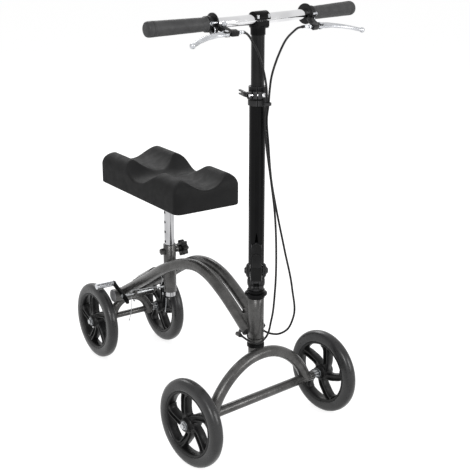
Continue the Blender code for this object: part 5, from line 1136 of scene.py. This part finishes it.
def latch():
    """Channel lever with a rounded top, a panel set in a groove, and lips that wrap the column."""
    front = LATCH @ turn(90, "X")
    outline = [(-12, 13.2), (12, 13.2), (12.2, 50), (12, 88), *arc((0, 89), 12, 5, 175, 17), (-12, 88),
               (-12.2, 50)]
    outline = [(x, 89 + (z - 89) * 1.17 if z > 89 else z) for x, z in outline]
    panel = [(-9.3, 46.5), (9.3, 46.5), (9.3, 70), *arc((0, 69), 9.3, 8, 172, 13), (-9.3, 70)]
    around = [(x * 1.12, 60 + (z - 60) * 1.065) for x, z in panel]
    skin = tool(extruded, outline, -3.5, -0.6, front, 1, 3)
    skin = carved(skin, tool(extruded, around, -2, 5, front, 0))
    raised = tool(extruded, panel, -3, 0.8, front, 0.8, 3)
    lips = bmesh.new()
    for side in (-1, 1):
        wall = [(1, 40), (6.6, 53), (6.6, 94), (4, 100), (1, 100)]
        extruded(lips, wall, 10.2, 12, LATCH @ MIRROR[side] @ SIDEWAYS, 0.5)
    stem = tool(block, (-6, 1.2, 0), (6, 4, 16), LATCH, 0.8)
    turned(stem, mirrored([(0, -6), (4.5, -6), (5, -5.5)]), LATCH @ turn(90, "Y"), 32)
    stem = carved(stem, tool(bar, (-20, 0, 0), (20, 0, 0), 2.6, LATCH, 20))
    bm = bmesh.new()
    for part in (skin, raised, lips, stem):
        added(bm, part)
    piece("latch_handle", bm, "edged_black", "fold_latch", ("fold_latch_lever",))


column()
cam_lever()
fold_joint()
latch()


# Rear brakes

PRESS_BAR = (54.5, 19)
WIRE_ANCHOR = (53, -19.5)


def pivot_rod():
    bm = tool(bar, (-70.5, 0, 0), (70.5, 0, 0), 2.5, BRAKE, 24)
    for side in (-1, 1):
        extruded(bm, hexagon(5), 67.5, 71, BRAKE @ OUT_X[side], 0.4)
        turned(bm, [(0, 70.8), (3, 70.8), (2.7, 71.6), (0, 71.9)], BRAKE @ OUT_X[side], 20)
    piece("brake_rod", bm, "steel", "frame", ("brake_pivot_rod",))


def brake(side):
    place = BRAKE @ MIRROR[side]
    flat = place @ SIDEWAYS
    hole = (bar, (0, 0, 0), (90, 0, 0), 2.9, place, 24)
    screw = (bar, (0, *PRESS_BAR), (90, *PRESS_BAR), 3.3, place, 24)
    outline = (arc(PRESS_BAR, 6.4, -60, 120, 12) + [(30, 16.5), (0, 6.2), (-13, 2)]
               + arc((-20, -10), 6.2, 110, 290, 10) + [(-8, -11.5), (28, 3.5)])
    bm = tool(extruded, outline, 62, 68, flat, 0.9)
    anchor = tool(extruded, [(-26, -22.5), (-13.5, -20), (-13, 3), (-26, 3)], 45.5, 63.5, flat, 1)
    turned(anchor, [(1.2, 2), (3.4, 2), (3.4, 10.5), (2.8, 11.8), (1.2, 12)], place @ shift(*WIRE_ANCHOR, 0),
           24)
    wire = (bar, (*WIRE_ANCHOR, -40), (*WIRE_ANCHOR, 4.5), 1.6, place, 16)
    anchor = carved(anchor, tool(*wire))
    bm = carved(bm, tool(*hole), tool(*screw))
    added(bm, anchor)
    body = "brake_" + SIDE[side]
    piece("brake_link_" + SIDE[side], bm, "black_paint", body, ("brake_arm_" + SIDE[side],), sharp=40)
    bm = bmesh.new()
    roller = place @ shift(0, *PRESS_BAR) @ turn(90, "Y")
    rings = [(0, 59), (3, 59), (3, 67.3), (7.4, 67.3), (8, 67.9)]
    start = 70
    while start < 112:
        rings += [(8, start), (7.5, start + 0.6), (7.5, start + 1.6), (8, start + 2.2)]
        start += 4.6
    rings += [(8, 115.7), (7.4, 116.3), (0, 116.3)]
    turned(bm, rings, roller, 40)
    hex_head(bm, roller @ shift(0, 0, 62.5) @ turn(180, "X"), 4.6, 2.6, 5.8)
    piece("press_bar_" + SIDE[side], bm, "alloy", body, ("brake_bar_" + SIDE[side],))
    tail = smooth_line([(*WIRE_ANCHOR, 1), (*WIRE_ANCHOR, -25), (53.8, -16.5, -48), (55.5, -9, -70)], 8)
    bm = tool(swept, tail, 0.8, place, 10)
    turned(bm, [(0, 0), (1.2, 0), (1.5, 0.6), (1.5, 5.2), (1.2, 5.8), (0, 5.8)],
           place @ aimed((55, -11, -64.5), (56, -7.5, -74)), 16)
    extruded(bm, hexagon(3.6), 0, 3, place @ aimed((45.5, -19.5, -11), (30, -19.5, -11)), 0.3)
    piece("wire_tail_" + SIDE[side], bm, "steel", body)
    route = [(16.5, 398.5, 278), (12.5, 399, 258), (15, 405, 245), (31, 430, 234), (44, 460, 221.5),
             (51.5, 485, 213), (53, 493.5, 208.5), (53, 494.5, 204.5)]
    bm = tool(swept, smooth_line(route, 8), 0.8, FRAME @ MIRROR[side], 10)
    piece("brake_wire_" + SIDE[side], bm, "steel", "frame")


pivot_rod()
for side_sign in (-1, 1):
    brake(side_sign)


# Brake cables, with the ribs of their spiral housing

CABLE_ROUTES = {-1: [(-58.9, -45.1, 940.9), (-44.8, -35.6, 931.6), (-32.4, -24.9, 922.2), (-19, -21, 906),
                     (-6, -27, 865), (2.2, -30.5, 815), (3.5, -29, 787), (2.4, -24.5, 756), (5.5, -26.5, 700),
                     (13.5, -35, 615), (17.8, -43, 550), (21.5, -45.8, 460), (20.5, -44.5, 365),
                     (14.5, -40.2, 295), (3, -34, 252), (-13, -26.2, 238), (-24.5, -13, 242)],
                1: [(83.4, -28.3, 940.9), (67.2, -32.6, 934.2), (50.6, -37.5, 925.6), (35.6, -44.1, 915.1),
                    (30, -40, 900), (20, -37, 875), (12.5, -33, 845), (9.2, -31, 813), (8.2, -29.5, 787),
                    (8.5, -23.5, 756), (13, -23.5, 700), (20, -27, 615), (29, -34.5, 550), (45, -44, 460),
                    (62, -53, 365), (67, -53, 295), (56, -44, 263), (43, -26, 249), (33, -8, 247)]}
CABLE_JOINS = (800, 400)


def evenly(line, step):
    """The same line with its points a fixed step apart."""
    result = [line[0]]
    need = step
    for a, b in zip(line, line[1:]):
        length = (b - a).length
        while need <= length:
            result.append(a.lerp(b, need / length))
            need += step
        need -= length
    return [*result, line[-1]]


def cable(side):
    leave = (2.5, -48.4) if side < 0 else (-3, -44)
    start = [FRAME.inverted() @ PLANE[side] @ Vector((side * leave[0], leave[1], 0))]
    end = [(side * 30, 10.5, CABLE_STOP_Z), (side * 30, 17.7, CABLE_STOP_Z)]
    line = evenly(smooth_line([*start, *CABLE_ROUTES[side], *end], 16), 1.4)
    at_collar, at_fold = (next(i for i, p in enumerate(line) if p.z < z) for z in CABLE_JOINS)
    spans = (("upper", 0, at_collar, "column", "handlebar", 800, 900),
             ("middle", at_collar, at_fold, "fork", "column", 400, 460),
             ("lower", at_fold, len(line) - 1, "frame", "fork", 275, 385))
    for part, first, last, below, above, low, high in spans:
        run = line[first:last + 1]
        bm = tool(swept, run, [2.5 if i % 2 else 2.2 for i in range(first, last + 1)], FRAME, 14)
        ends = {"upper": (run[0], run[5]), "lower": (run[-1], run[-6])}
        if part in ends:
            turned(bm, [(0, 0), (2.9, 0), (3.1, 0.3), (3.1, 6.2), (2.7, 6.8), (2, 7), (0, 7)],
                   FRAME @ aimed(*ends[part]), 24)
        obj = piece("cable_housing_%s_%s" % (part, SIDE[side]), bm, "black_plastic", None,
                    ("brake_cable_" + SIDE[side],), sharp=60)
        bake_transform(obj)


for side_sign in (-1, 1):
    cable(side_sign)
